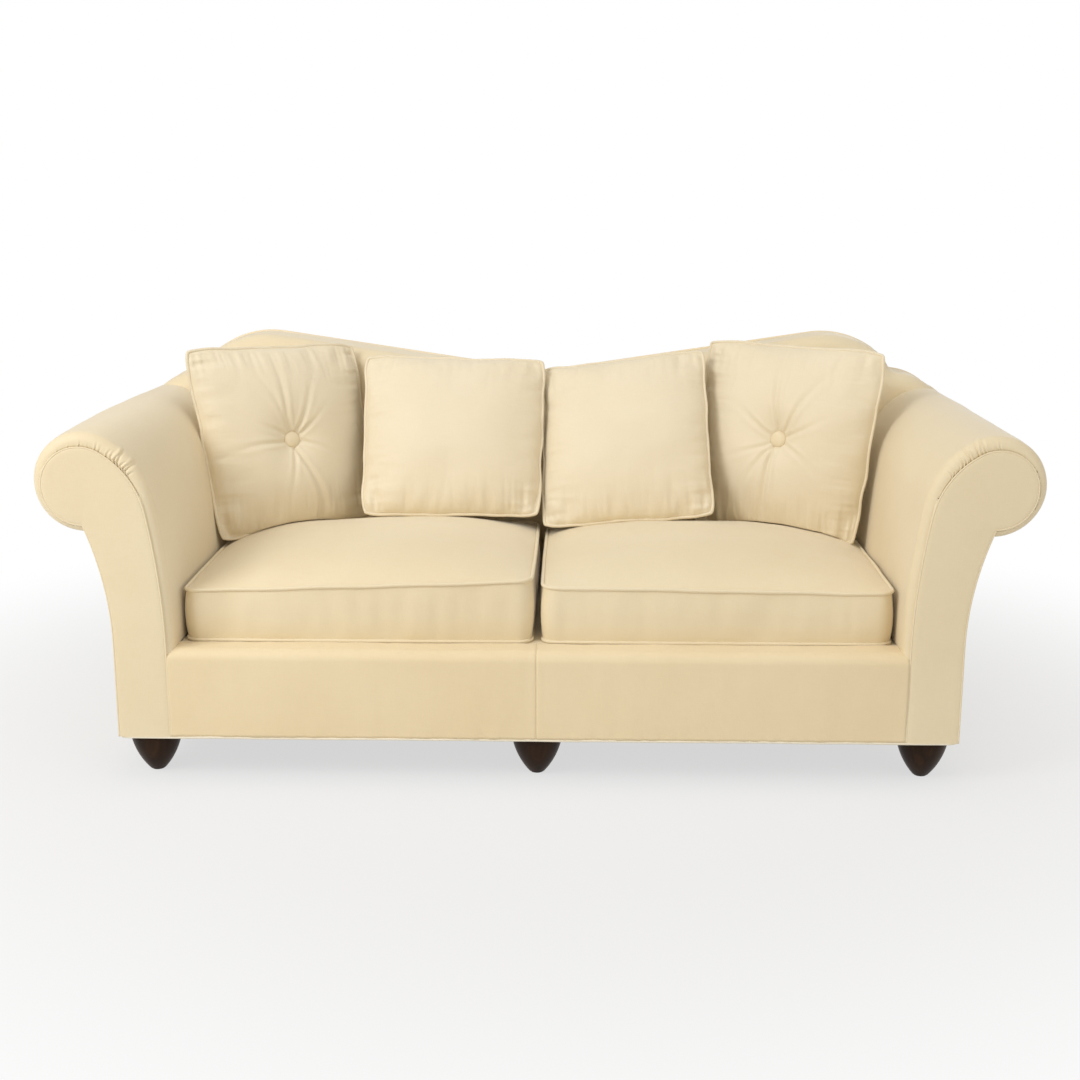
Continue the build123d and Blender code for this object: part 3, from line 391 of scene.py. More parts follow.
def scroll_wrap(inner_x, roll, base_z):
    """Right arm from the front: up the seat side and over the roll to its underside."""
    roll_x, roll_z, roll_radius = roll
    crest_x = roll_x - roll_radius * cos(CREST_ANGLE)
    crest_z = roll_z + roll_radius * sin(CREST_ANGLE)
    reach = crest_x - inner_x
    upper_radius = UPPER_NECK_SHARE * reach
    upper_reach = upper_radius * (cos(NECK_ANGLE) - cos(CREST_ANGLE))
    lower_radius = (reach - upper_reach) / (1 - cos(NECK_ANGLE))
    upper_rise = upper_radius * (sin(CREST_ANGLE) - sin(NECK_ANGLE))
    neck_z = crest_z - upper_rise - lower_radius * sin(NECK_ANGLE)
    inside = np.stack([np.full(FACE_POINTS, inner_x), np.linspace(base_z, neck_z, FACE_POINTS)], -1)
    lower = arc(inside[-1], pi / 2, lower_radius, -NECK_ANGLE, FACE_POINTS)
    upper = arc(lower[-1], pi / 2 - NECK_ANGLE, upper_radius, NECK_ANGLE - CREST_ANGLE, NECK_POINTS)
    over = arc(upper[-1], pi / 2 - CREST_ANGLE, roll_radius, CREST_ANGLE - 1.5 * pi, ROLL_POINTS)
    return np.concatenate([inside[:-1], lower[:-1], upper[:-1], over])


def scroll_outside(outer_x, roll, base_z):
    """Right arm from the front: up the outer face to the underside of the roll."""
    roll_x, roll_z, roll_radius = roll
    face_points, under_points = UNDER_POINTS
    turn = acos(1 - (roll_x - outer_x) / UNDER_RADIUS)
    under_z = roll_z - roll_radius - UNDER_RADIUS * sin(turn)
    face = np.stack([np.full(face_points, outer_x), np.linspace(base_z, under_z, face_points)], -1)
    return np.concatenate([face[:-1], arc(face[-1], pi / 2, UNDER_RADIUS, -turn, under_points)])


def outward(outline, closed=False):
    """Normals to the left of an outline's run."""
    run = tangents(outline, closed)
    return np.stack([-run[:, 1], run[:, 0]], -1)


def mirrored(grid, sign):
    return grid * np.array([sign, 1.0, 1.0])


def both_halves(half):
    """A whole outline from its right half, which starts in the middle."""
    return np.concatenate([half[:0:-1] * (-1, 1), half])


def upright(flat, depth):
    """Points in space from points across and up, and their depth."""
    return np.stack([flat[..., 0], np.broadcast_to(depth, flat.shape[:-1]), flat[..., 1]], -1)


def cover_steps(flat, edge, length):
    """Steps along a wrapped cover: share of its face, turn round its edge, share of the way to the rear."""
    face = np.concatenate([np.linspace(0, 1, flat), np.ones(edge + length)])
    turn = np.concatenate([np.zeros(flat), np.linspace(0, pi / 2, edge + 1)[1:], np.full(length, pi / 2)])
    reach = np.concatenate([np.zeros(flat + edge), np.linspace(0, 1, length + 1)[1:]])
    return face, turn, reach


def push_out(normal, turn):
    """Directions out of a cover that faces the front and then turns over its outline."""
    return upright(normal[:, None] * np.sin(turn)[:, None], -np.cos(turn))


# Arms: wrapped cover with gathered pleats, facing, welt and outside

# Gathers at the roll's front edge: degrees from the top towards the seat, depth in mm, length in mm
LEFT_PLEATS = (
    (56.5, 2.4, 24), (53.5, 3.4, 56), (51, 3.6, 52), (48, 1.8, 28), (45.5, 3.4, 54), (42.5, 3.2, 42),
    (39.5, 1.9, 24), (36, 1.8, 22), (30.5, 1.3, 18), (25, 1.8, 19), (14, 0.9, 14), (2, 1.5, 17),
    (-14, 0.8, 13), (-32, 0.9, 14), (-54, 0.8, 14), (-78, 1.0, 13), (-101, 1.1, 13), (-124, 1.2, 13),
    (-146, 1.2, 13), (-166, 1.1, 12),
)
RIGHT_PLEATS = (
    (54, 2.7, 24), (50.5, 1.8, 30), (46.5, 2.0, 20), (43, 3.1, 34), (40.5, 2.1, 20), (36.5, 3.3, 58),
    (31, 3.4, 56), (26, 1.7, 22), (21, 2.6, 42), (12, 1.0, 15), (3.5, 1.9, 22), (0.5, 1.6, 20),
    (-18, 0.8, 13), (-37, 0.9, 14), (-58, 1.0, 14), (-80, 1.1, 13), (-104, 1.2, 13), (-122, 1.2, 13),
    (-149, 1.3, 13), (-163, 1.1, 12),
)
PLEAT_WIDTH = 0.0015
PLEAT_SPREAD = 0.030  # distance from the seam over which a pleat doubles its width
PLEAT_LEAN = 0.22
PLEAT_BEND = 2.0  # per metre
PLEAT_FADE = 1.25  # place where a pleat has run out, as a share of its length
PLEAT_RIDGE = (0.7, 2.2, 1.3)  # beside a pleat: height, distance and half width, to the pleat's own
ROLL_BULGE = {"left": 0.010, "right": 0.002}  # fuller on top, between its ends
SEAM_RECESS = 0.0012  # arm cover drawn in along the facing's seam
SEAM_LAP = 0.0008  # arm cover starts outside the facing's edge
SEAM_CALM = 0.05  # distance from the seam over which the cover begins to swell
BAND_SHARE = 0.95  # of the band between facing and roll, at most, for the rounded edge
ARM_STEPS = (5, 9, 46)  # over the band, round the edge and along the arm
ARM_CROWDING = 1.7  # steps along the arm are closer at the front
ARM_SWELL = ((5.0, 0.0022), (16.0, 0.0006))
ROLL_ROW = 200  # a row of points on the roll
UNDERSIDE_ANGLE = 120  # degrees from the top, beyond which the roll is counted from the other side


def pleat_depth(pleats, run, angle, length, seed):
    """Depth of the gathers at each place: run and angle round the arm, length back from the seam."""
    draw = np.random.default_rng(seed)
    height, aside, wide = PLEAT_RIDGE
    depth = np.zeros((len(run), len(length)))
    for degrees_in, deep, long in pleats:
        lean = draw.uniform(-PLEAT_LEAN, PLEAT_LEAN)
        bend = draw.uniform(-PLEAT_BEND, PLEAT_BEND)
        place = np.interp(-degrees_in, -angle, run)
        width = PLEAT_WIDTH * (1 + length / PLEAT_SPREAD)
        centre = place + lean * length + bend * length**2
        away = (run[:, None] - centre[None, :]) / width[None, :]
        fade = 1 - smoothstep(length / (MM * long * PLEAT_FADE))
        ridge = height * np.exp(-(((away - aside) / wide) ** 2))
        depth += MM * deep * fade[None, :] * (np.exp(-np.abs(away) ** 1.5) - ridge)
    return depth


def arm_wrap(side, sign, pleats, seed):
    """The cover over the seat side and the roll, gathered at its front edge."""
    outline = scroll_wrap(PADDED_INSIDE, PADDED_ROLL, ARM_PAD_BASE)
    facing = scroll_wrap(SEAT_HALF_WIDTH, PANEL_ROLL, ARM_PAD_BASE)
    normal = outward(outline)
    angle = np.degrees(np.arctan2(-normal[:, 0], normal[:, 1]))
    angle = np.minimum.accumulate(np.where(angle > UNDERSIDE_ANGLE, angle - 360, angle))
    edge = np.minimum(ARM_EDGE_RADIUS, BAND_SHARE * np.linalg.norm(outline - facing, axis=1))
    front_y = FRONT + ARM_SETBACK
    across, turn, back = cover_steps(*ARM_STEPS)
    start = facing + SEAM_LAP * outward(facing)
    lip = outline - edge[:, None] * normal
    flat = start[:, None] + (lip - start)[:, None] * across[None, :, None]
    flat = flat + (edge[:, None] * np.sin(turn))[..., None] * normal[:, None]
    depth = front_y + ARM_EDGE_RADIUS * (1 - np.cos(turn))
    depth = depth + back**ARM_CROWDING * (COVER_REAR - front_y - ARM_EDGE_RADIUS)
    depth = depth + SEAM_RECESS * (1 - smoothstep(across * 1.6)) * (across < 1)
    grid = upright(flat, depth)
    into_edge = np.clip(BORDER_RADIUS - (grid[..., 1] - FRONT), 0, BORDER_RADIUS)
    drop = BORDER_RADIUS - np.sqrt(BORDER_RADIUS**2 - into_edge**2)
    grid[..., 2] -= drop * np.exp(-((run_length(outline) / BORDER_RADIUS) ** 2))[:, None]
    length = run_length(grid[ROLL_ROW])
    swell = swells(grid, seed, *ARM_SWELL) * smoothstep(length / SEAM_CALM)[None, :]
    along = np.clip((grid[0, :, 1] - front_y) / (COVER_REAR - front_y), 0, 1)
    bulge = ROLL_BULGE[side] * np.clip(normal[:, 1], 0, 1)[:, None] * np.sin(pi * along**0.75)
    amount = swell + bulge - pleat_depth(pleats, run_length(outline), angle, length, seed)
    grid = mirrored(grid + push_out(normal, turn) * amount[..., None], sign)
    piece = surface(f"{side}_arm_wrap", grid, (0, 0, 1))
    dress(piece, "frame", (f"{side}_arm_cover", f"{side}_arm_padding"), COVER_CLOTH)


def ring_solid(name, rings):
    """A closed solid from rings of points, capped at both ends, with its faces turned outward."""
    rings = np.asarray(rings)
    count = rings.shape[1]
    index = np.arange(rings.shape[0] * count).reshape(rings.shape[0], count)
    faces = list(quads(np.concatenate([index, index[:, :1]], 1)))
    faces += [tuple(index[0]), tuple(index[-1, ::-1])]
    piece = mesh_object(name, rings, faces)
    form = bmesh.new()
    form.from_mesh(piece.data)
    bmesh.ops.recalc_face_normals(form, faces=form.faces)
    form.to_mesh(piece.data)
    form.free()
    piece.data.set_sharp_from_angle(angle=SHARP_ANGLE)
    return piece


# Steps of the facing's rounded edge: inset, then depth behind the front
FACING_EDGE = ((0.0, 0.0040), (0.0006, 0.0018), (0.0020, 0.0006), (0.0045, 0.0), (0.0120, -0.0006))
FACING_POINTS = (220, 80, 16)  # over the wrapped side, down the outside and along the foot
WELT_POINTS = (240, 90)
OUTSIDE_GRID = (60, 70)
OUTSIDE_SETBACK = 0.006
OUTSIDE_SWELL = 0.0016


def facing_outline(inner_x, outer_x, roll, base_z):
    """The whole scroll, closed, at even steps."""
    wrap_points, outside_points, foot_points = FACING_POINTS
    wrap = resample(scroll_wrap(inner_x, roll, base_z), wrap_points)
    outside = resample(scroll_outside(outer_x, roll, base_z)[::-1], outside_points)
    foot = np.linspace(outside[-1], wrap[0], foot_points)
    return np.concatenate([wrap[:-1], outside, foot[1:-1]])


def inset_ring(outline, inset):
    """A closed outline taken in along its normals."""
    return outline - inset * outward(outline, closed=True)


def arm_facing(side, sign):
    """The scroll panel on the arm's front, softly rounded at its edge, and its welt."""
    roll_x, roll_z, radius = PANEL_ROLL
    rings = []
    for inset, y in ((0.0, PANEL_THICKNESS),) + FACING_EDGE:
        roll = (roll_x, roll_z, radius - inset)
        outline = facing_outline(SEAT_HALF_WIDTH + inset, ARM_OUTSIDE - inset, roll, FOOT_HEIGHT)
        rings.append(mirrored(upright(outline, FRONT + y), sign))
    piece = ring_solid(f"{side}_arm_facing", rings)
    dress(piece, "frame", (f"{side}_arm_front_panel",), COVER_CLOTH)
    wrap = resample(scroll_wrap(SEAT_HALF_WIDTH, PANEL_ROLL, FOOT_HEIGHT), WELT_POINTS[0])
    outside = resample(scroll_outside(ARM_OUTSIDE, PANEL_ROLL, FOOT_HEIGHT), WELT_POINTS[1])[::-1]
    path = mirrored(upright(np.concatenate([wrap, outside[1:]]), FRONT + FACING_WELT), sign)
    dress(tube(f"{side}_arm_facing_welt", path, FACING_WELT), "frame", (), WELT_CLOTH)


def arm_outside(side, sign, seed):
    """The cover on the outside of the arm, under the roll."""
    rows, cols = OUTSIDE_GRID
    outline = resample(scroll_outside(PADDED_OUTSIDE, PADDED_ROLL, FOOT_HEIGHT), rows)
    depth = np.linspace(FRONT + OUTSIDE_SETBACK, COVER_REAR, cols)
    grid = upright(np.repeat(outline[:, None], cols, 1), depth)
    grid[..., 0] += ripple(grid, 4.0, OUTSIDE_SWELL, seed) - OUTSIDE_SWELL / 2
    piece = surface(f"{side}_arm_outside", mirrored(grid, sign), (sign, 0, 0))
    dress(piece, "frame", (f"{side}_outside_arm_cover",), COVER_CLOTH)


for side, sign, pleats, seed in (("left", -1.0, LEFT_PLEATS, 11), ("right", 1.0, RIGHT_PLEATS, 18)):
    arm_wrap(side, sign, pleats, seed)
    arm_facing(side, sign)
    arm_outside(side, sign, seed + 20)

# Back: leaning face rolled over the humps, outside panel and its welt

BACK_POINTS = (14, 60, 40, 14, 12, 24)  # valley, slope, hump, shoulder, notch and wing
BACK_COLUMNS = 150  # on either half
BACK_STEPS = (40, 12, 24)  # up the face, round the edge and over the top
BACK_SWELL = ((4.0, 0.003), (14.0, 0.0008))
REAR_POINTS = 480
REAR_ROLL_POINTS = 120
# Steps of the outside back's edge: inset, then depth behind the other covers
REAR_EDGE = ((0.0, 0.0), (0.0, COVER - 0.0012), (0.0014, COVER), (0.003, COVER + 0.0003))
REAR_WELT_SINK = 0.001
REAR_WELT_STOP = 8  # points without a welt at either foot


def back_half():
    """Right half of the back's outline, from the valley to the tip of the wing."""
    valley_n, slope_n, hump_n, shoulder_n, notch_n, wing_n = BACK_POINTS
    middle_z = BACK_HEIGHT - HUMP_RADIUS
    end_x = PEAK_X - HUMP_RADIUS * sin(HUMP_RISE)
    end_z = middle_z + HUMP_RADIUS * cos(HUMP_RISE)
    start_x = VALLEY_RADIUS * sin(HUMP_RISE)
    start_z = end_z - (end_x - start_x) * tan(HUMP_RISE)
    valley_z = start_z - VALLEY_RADIUS * (1 - cos(HUMP_RISE))
    valley = arc((0.0, valley_z), 0.0, VALLEY_RADIUS, HUMP_RISE, valley_n)
    slope = np.linspace(valley[-1], (end_x, end_z), slope_n)
    hump = arc(slope[-1], HUMP_RISE, HUMP_RADIUS, -HUMP_RISE - HUMP_FALL, hump_n)
    shoulder = arc(hump[-1], -HUMP_FALL, SHOULDER_RADIUS, HUMP_FALL - SHOULDER_FALL, shoulder_n)
    notch = arc(shoulder[-1], -SHOULDER_FALL, NOTCH_RADIUS, SHOULDER_FALL - WING_SLOPE, notch_n)
    wing = arc(notch[-1], -WING_SLOPE, WING_RADIUS, WING_SLOPE - pi / 2, wing_n)
    return np.concatenate([valley[:-1], slope[:-1], hump[:-1], shoulder[:-1], notch[:-1], wing])


def back_face_y(z):
    return BACK_Y + (z - DECK_Z) * tan(BACK_LEAN)


def back_wrap():
    """The inside back: a leaning face, rolled over the top and drawn to the rear."""
    outline = both_halves(resample(back_half(), BACK_COLUMNS))
    normal = outward(outline)
    foot = np.stack([outline[:, 0] * (ARM_MIDDLE / outline[-1, 0]), np.full(len(outline), BACK_BASE)], -1)
    rise, turn, reach = cover_steps(*BACK_STEPS)
    lip = outline - BACK_EDGE_RADIUS * normal
    flat = foot[:, None] + (lip - foot)[:, None] * rise[None, :, None]
    flat = flat + (BACK_EDGE_RADIUS * np.sin(turn))[None, :, None] * normal[:, None]
    lip_y = back_face_y(lip[:, 1])
    front_y = np.where(rise[None, :] < 1, back_face_y(flat[..., 1]), lip_y[:, None])
    round_y = front_y + BACK_EDGE_RADIUS * (1 - np.cos(turn))[None, :]
    top_y = lip_y + BACK_EDGE_RADIUS
    grid = upright(flat, round_y + reach[None, :] * (COVER_REAR - top_y)[:, None])
    grid = grid + push_out(normal, turn) * swells(grid, 51, *BACK_SWELL)[..., None]
    piece = surface("back_wrap", grid, (0, -1, 0))
    dress(piece, "frame", ("back_cover", "back_padding"), COVER_CLOTH)


def rear_outline():
    """The sofa from behind: humps, rolls and arms' outsides, right half from the middle."""
    roll_x, roll_z, roll_radius = PADDED_ROLL
    half = back_half()
    buried = np.hypot(half[:, 0] - roll_x, half[:, 1] - roll_z) < roll_radius
    top = half[: np.argmax(buried)]
    over = arc((roll_x, roll_z + roll_radius), 0.0, roll_radius, -pi, REAR_ROLL_POINTS)
    over = over[np.argmax(over[:, 0] > top[-1, 0]):]
    outside = scroll_outside(PADDED_OUTSIDE, PADDED_ROLL, FOOT_HEIGHT)[::-1]
    return np.concatenate([top, over, outside[1:]])


def back_outside():
    """The cover on the outside back, with a welt round its upper edge."""
    outline = both_halves(resample(rear_outline(), REAR_POINTS))
    rings = [upright(inset_ring(outline, inset), COVER_REAR + y) for inset, y in REAR_EDGE]
    piece = ring_solid("back_outside", rings)
    dress(piece, "frame", ("outside_back_cover",), COVER_CLOTH)
    path = upright(inset_ring(outline, REAR_WELT_SINK), COVER_REAR - REAR_WELT_SINK)
    welt = tube("back_outside_welt", path[REAR_WELT_STOP:-REAR_WELT_STOP], BACK_WELT)
    dress(welt, "frame", (), WELT_CLOTH)


back_wrap()
back_outside()

# Base: front border in two lengths, base welt, deck and dust cloth

BORDER_STEPS = (30, 14, 14)  # up the face, round the edge and over the top
BORDER_COLUMNS = 120
BORDER_GAP = 0.0005  # beside the facing
BORDER_LIFT = 0.001  # lower edge above the base
SEAM_STEPS = (0.0001, 0.0008, 0.0016, 0.0028, 0.0045, 0.008)
SEAM_END = 0.014  # even steps from here
SEAM_GROOVE = (0.0012, 0.0018)  # depth and half width
SEAM_RIDGE = (0.0005, 0.007, 0.004)  # height, distance and half width of the fold beside the seam
BORDER_CALM = 0.05  # distance from the seam over which the border begins to swell
BORDER_SWELL = 0.0024
BORDER_WRINKLE = 0.0008
HEM_PUCKER = 0.0020
HEM_REACH = 0.012
CORD_CORNER = 0.020
CORD_PROUD = 0.0010  # beyond the covers, front and rear
CORD_DROP = 0.0014  # its middle below the covers' lower edge
CORD_WAVE = 0.0010
CORD_POINTS = 640
CLOTH_GRID = (90, 44)
CLOTH_SPANS = 2  # sags across the width
DECK_GAP = 0.001
DECK_SAG = 0.004
DECK_FRONT = 0.045  # behind the front
DUST_GAP = 0.004
DUST_SAG = 0.003
DUST_FRONT = 0.014


def border(side, sign, seed):
    """Half of the front border, from the seam in the middle to the arm's facing."""
    face_n, edge_n, top_n = BORDER_STEPS
    rise = np.linspace(FOOT_HEIGHT + BORDER_LIFT, BORDER_TOP - BORDER_RADIUS, face_n)
    face = np.stack([np.full(face_n, FRONT), rise], -1)
    edge = arc(face[-1], pi / 2, BORDER_RADIUS, -pi / 2, edge_n)
    top = np.stack([np.linspace(edge[-1, 0], FRONT + BORDER_DEPTH, top_n), np.full(top_n, BORDER_TOP)], -1)
    profile = np.concatenate([face[:-1], edge[:-1], top])
    across = np.concatenate([SEAM_STEPS, np.linspace(SEAM_END, SEAT_HALF_WIDTH - BORDER_GAP, BORDER_COLUMNS)])
    grid = np.empty((len(profile), len(across), 3))
    grid[..., 0] = across
    grid[..., 1:] = profile[:, None]
    depth, wide = SEAM_GROOVE
    height, place, spread = SEAM_RIDGE
    groove = depth * np.exp(-((across / wide) ** 2)) - height * np.exp(-(((across - place) / spread) ** 2))
    swell = ripple(grid, 5.0, BORDER_SWELL, seed)
    swell = swell + ripple(grid * (2.2, 1, 0.7), 14.0, BORDER_WRINKLE, seed + 1)
    pucker = ripple(grid * (60, 1, 8), 1.0, HEM_PUCKER, seed + 2)
    swell = swell + pucker * np.exp(-(grid[..., 2] - FOOT_HEIGHT) / HEM_REACH)
    swell = swell * smoothstep(across / BORDER_CALM) - groove
    grid[..., 1:] += outward(profile)[:, None] * swell[..., None]
    piece = surface(f"{side}_border", mirrored(grid, sign), (0, -1, 0))
    nodes = [f"{side}_front_border"] + (["front_border_padding"] if sign < 0 else [])
    # The border's cloth carries painted shade: darker and more saturated than the cover cloth.
    dress(piece, "frame", nodes, PAINTED_SHADE_BORDER_CLOTH)


def base_cord():
    """The welt along the lower edge, all the way round."""
    centre_x = PADDED_OUTSIDE - BASE_WELT_RADIUS - CORD_CORNER
    centre_y = REAR - BASE_WELT_RADIUS + CORD_PROUD - CORD_CORNER
    corners = []
    for k, (sx, sy) in enumerate(((1, -1), (1, 1), (-1, 1), (-1, -1))):
        angle = -pi / 2 + k * pi / 2 + np.linspace(0, pi / 2, 8)
        x = sx * centre_x + CORD_CORNER * np.cos(angle)
        y = sy * centre_y + CORD_CORNER * np.sin(angle)
        corners.append(np.stack([x, y], -1))
    flat = resample(np.concatenate(corners), CORD_POINTS, closed=True)
    path = np.column_stack([flat, np.full(len(flat), FOOT_HEIGHT - CORD_DROP)])
    path[:, 2] += ripple(path, 9.0, CORD_WAVE, 71)
    piece = tube("base_cord", path, BASE_WELT_RADIUS, closed=True, sides=12)
    dress(piece, "frame", ("base_welt",), EDGE_CLOTH)


def flat_cloth(name, half_width, front_y, rear_y, z, sag, toward):
    """A level cloth that sags a little between what holds it."""
    cols, rows = CLOTH_GRID
    x = np.linspace(-half_width, half_width, cols)
    y = np.linspace(front_y, rear_y, rows)
    along = np.sin(pi * CLOTH_SPANS * (x + half_width) / (2 * half_width)) ** 2
    across = np.sin(pi * (y - front_y) / (rear_y - front_y)) ** 2
    grid = np.dstack([*np.meshgrid(x, y), z - sag * across[:, None] * along[None, :]])
    return surface(name, grid, toward, THIN_CLOTH)


border("left", -1.0, 61)
border("right", 1.0, 67)
base_cord()
deck_half, deck_rear = SEAT_HALF_WIDTH - DECK_GAP, BACK_Y - DECK_GAP
deck = flat_cloth("deck_cloth", deck_half, FRONT + DECK_FRONT, deck_rear, DECK_Z, DECK_SAG, (0, 0, 1))
dress(deck, "frame", ("seat_deck_cover", "seat_deck_pad"), COVER_CLOTH)
dust_half, dust_rear = ARM_OUTSIDE - DUST_GAP, COVER_REAR - DUST_GAP
dust = flat_cloth(
    "dust_cloth_panel", dust_half, FRONT + DUST_FRONT, dust_rear, FOOT_HEIGHT, DUST_SAG, (0, 0, -1)
)
dress(dust, "frame", ("dust_cover",), DUST_CLOTH)

# Cushions and pillows: simulated cloth


def cloth_step(pieces, frames):
    """Run the cloth of all pieces together, and return their points."""
    scene = bpy.context.scene
    for step in range(1, frames + 1):
        scene.frame_set(step)
    depsgraph = bpy.context.evaluated_depsgraph_get()
    moved = []
    for piece in pieces:
        swelled = piece.evaluated_get(depsgraph)
        moved.append(points_of(swelled.to_mesh()))
        swelled.to_mesh_clear()
    for piece in pieces:
        piece.modifiers.clear()
        piece.vertex_groups.clear()
    scene.frame_set(1)
    return moved


def add_cloth(piece, pressure, stiffness, bending, frames, pins=()):
    """Cloth under pressure, without gravity, held at the pinned points."""
    cloth = piece.modifiers.new("Cloth", "CLOTH")
    settings = cloth.settings
    settings.quality = 6
    settings.mass = 0.3
    settings.tension_stiffness = stiffness
    settings.compression_stiffness = stiffness
    settings.shear_stiffness = stiffness / 3
    settings.bending_stiffness = bending
    settings.use_pressure = True
    settings.uniform_pressure_force = pressure
    settings.effector_weights.gravity = 0.0
    if len(pins):
        group = piece.vertex_groups.new(name="pins")
        group.add([int(i) for i in pins], 1.0, "REPLACE")
        settings.vertex_group_mass = "pins"
    cloth.point_cache.frame_start = 1
    cloth.point_cache.frame_end = frames


def set_points(piece, points):
    piece.data.vertices.foreach_set("co", np.asarray(points, np.float32).ravel())
    piece.data.update()


def points_of(mesh):
    points = np.empty(len(mesh.vertices) * 3, np.float32)
    mesh.vertices.foreach_get("co", points)
    return points.reshape(-1, 3).astype(float)


def capped(made, moved, cap):
    """Where a piece's cloth has moved to, no further than the cap."""
    shift = moved - made["start"]
    size = np.linalg.norm(shift, axis=1)
    return made["start"] + shift * np.minimum(1.0, cap / np.maximum(size, 1e-9))[:, None]


def perimeter(index):
    """Vertex numbers round the rim of a grid, in order."""
    return np.concatenate([index[0, :-1], index[:-1, -1], index[-1, :0:-1], index[:0:-1, 0]])


def rim_side(half_x, half_y, radius, bow, count):
    """Lower side of a rounded rectangle, from the middle of one corner to the middle of the next."""
    quarter = np.linspace(radians(225), radians(270), 8)
    middle = np.array([radius - half_x, radius - half_y])
    left = middle + radius * np.stack([np.cos(quarter), np.sin(quarter)], -1)
    path = resample(np.concatenate([left, left[::-1] * (-1, 1)]), count)
    path[:, 1] -= bow * (1 - (path[:, 0] / half_x) ** 2)
    return path


def coons(lower, right, upper, left):
    """Fill four sides with a grid: lower and upper run across, left and right run up."""
    u = np.linspace(0, 1, len(lower))[None, :, None]
    v = np.linspace(0, 1, len(left))[:, None, None]
    sides = (1 - v) * lower[None] + v * upper[None] + (1 - u) * left[:, None] + u * right[:, None]
    lower_corners = (1 - u) * (1 - v) * lower[0] + u * (1 - v) * lower[-1]
    return sides - (lower_corners + (1 - u) * v * upper[0] + u * v * upper[-1])


CUSHION_GRID = (86, 70)
CUSHION_BAND = 15  # steps down the boxing
CUSHION_INSET = 0.001
CUSHION_CORNER = 0.030
CUSHION_HALF = (0.384, 0.304)  # across and back, where the boxing's sides are told apart
CUSHION_BOW = 0.0015  # sides bowed out, seen from above
BOXING_BOW = 0.005  # boxing bowed out halfway up
CUSHION_START = 0.96  # crown before the cloth swells, as a share
CUSHION_TOP_CAP = 0.012  # how far the cloth may move
CUSHION_BAND_CAP = 0.004
CUSHION_TILT = {"left": (-0.011, 0.014), "right": (0.001, -0.008)}  # rise at either end
TOP_MARGIN = 0.0005  # what is higher than the boxing by this belongs to the top
TOP_SWELL = ((7.0, 0.0035), (19.0, 0.0009))
FINE_CREASE = 0.0042
BROAD_CREASE = 0.0045
CREASE_CREST = 0.0024  # creases stand out no further
SEAM_WAVE = 0.0028
CUSHION_WELT_LIFT = {"upper": 0.0005, "lower": 0.0042}
CUSHION_WELT_PROUD = 0.0012
CUSHION_WELT_POINTS = 520


def cushion_form():
    """Points and faces of a boxed cushion about its own middle, and the numbers of its seams."""
    half_x = (CUSHION_OUTER - CUSHION_INNER) / 2 - CUSHION_INSET
    half_y = (CUSHION_REAR - CUSHION_FRONT) / 2 - CUSHION_INSET
    nx, ny = CUSHION_GRID
    lower = rim_side(half_x, half_y, CUSHION_CORNER, CUSHION_BOW, nx)
    right = rim_side(half_y, half_x, CUSHION_CORNER, CUSHION_BOW, ny) @ np.array([[0, 1], [-1, 0]])
    flat = coons(lower, right, lower * (1, -1), right * (-1, 1))
    u, v = np.meshgrid(np.linspace(-1, 1, nx), np.linspace(-1, 1, ny))
    dome = ((1 - np.abs(u) ** 2.6) * (1 - np.abs(v) ** 2.6)) ** 0.8
    top = np.dstack([flat, CUSHION_BOXING + CUSHION_START * CUSHION_CROWN * dome])
    floor = np.dstack([flat, np.zeros_like(dome)])
    count = nx * ny
    top_index = np.arange(count).reshape(ny, nx)
    rim = perimeter(top_index)
    rim_flat = flat.reshape(-1, 2)[rim]
    away = -outward(rim_flat, closed=True)
    points = [top.reshape(-1, 3), floor.reshape(-1, 3)]
    rows = [rim]
    for k in range(1, CUSHION_BAND):
        share = k / CUSHION_BAND
        ring = rim_flat + BOXING_BOW * sin(pi * share) * away
        points.append(np.column_stack([ring, np.full(len(rim), CUSHION_BOXING * (1 - share))]))
        rows.append(2 * count + (k - 1) * len(rim) + np.arange(len(rim)))
    rows.append(rim + count)
    band = np.array(rows)
    band = np.concatenate([band, band[:, :1]], 1)
    faces = np.concatenate([quads(top_index), quads(top_index + count, True), quads(band, True)])
    return np.concatenate(points), faces, rim, rim + count


def cushion(side, sign, seed):
    """A seat cushion, ready for its cloth."""
    points, faces, upper, lower = cushion_form()
    points = points + ((CUSHION_INNER + CUSHION_OUTER) / 2, (CUSHION_FRONT + CUSHION_REAR) / 2, CUSHION_BASE)
    piece = mesh_object(f"{side}_cushion", mirrored(points, sign), faces[:, ::-1] if sign < 0 else faces)
    count = CUSHION_GRID[0] * CUSHION_GRID[1]
    held = np.concatenate([upper, np.arange(count, 2 * count)])
    made = {"piece": piece, "start": points_of(piece.data), "held": held}
    return made | {"rims": {"upper": upper, "lower": lower}, "side": side, "seed": seed}


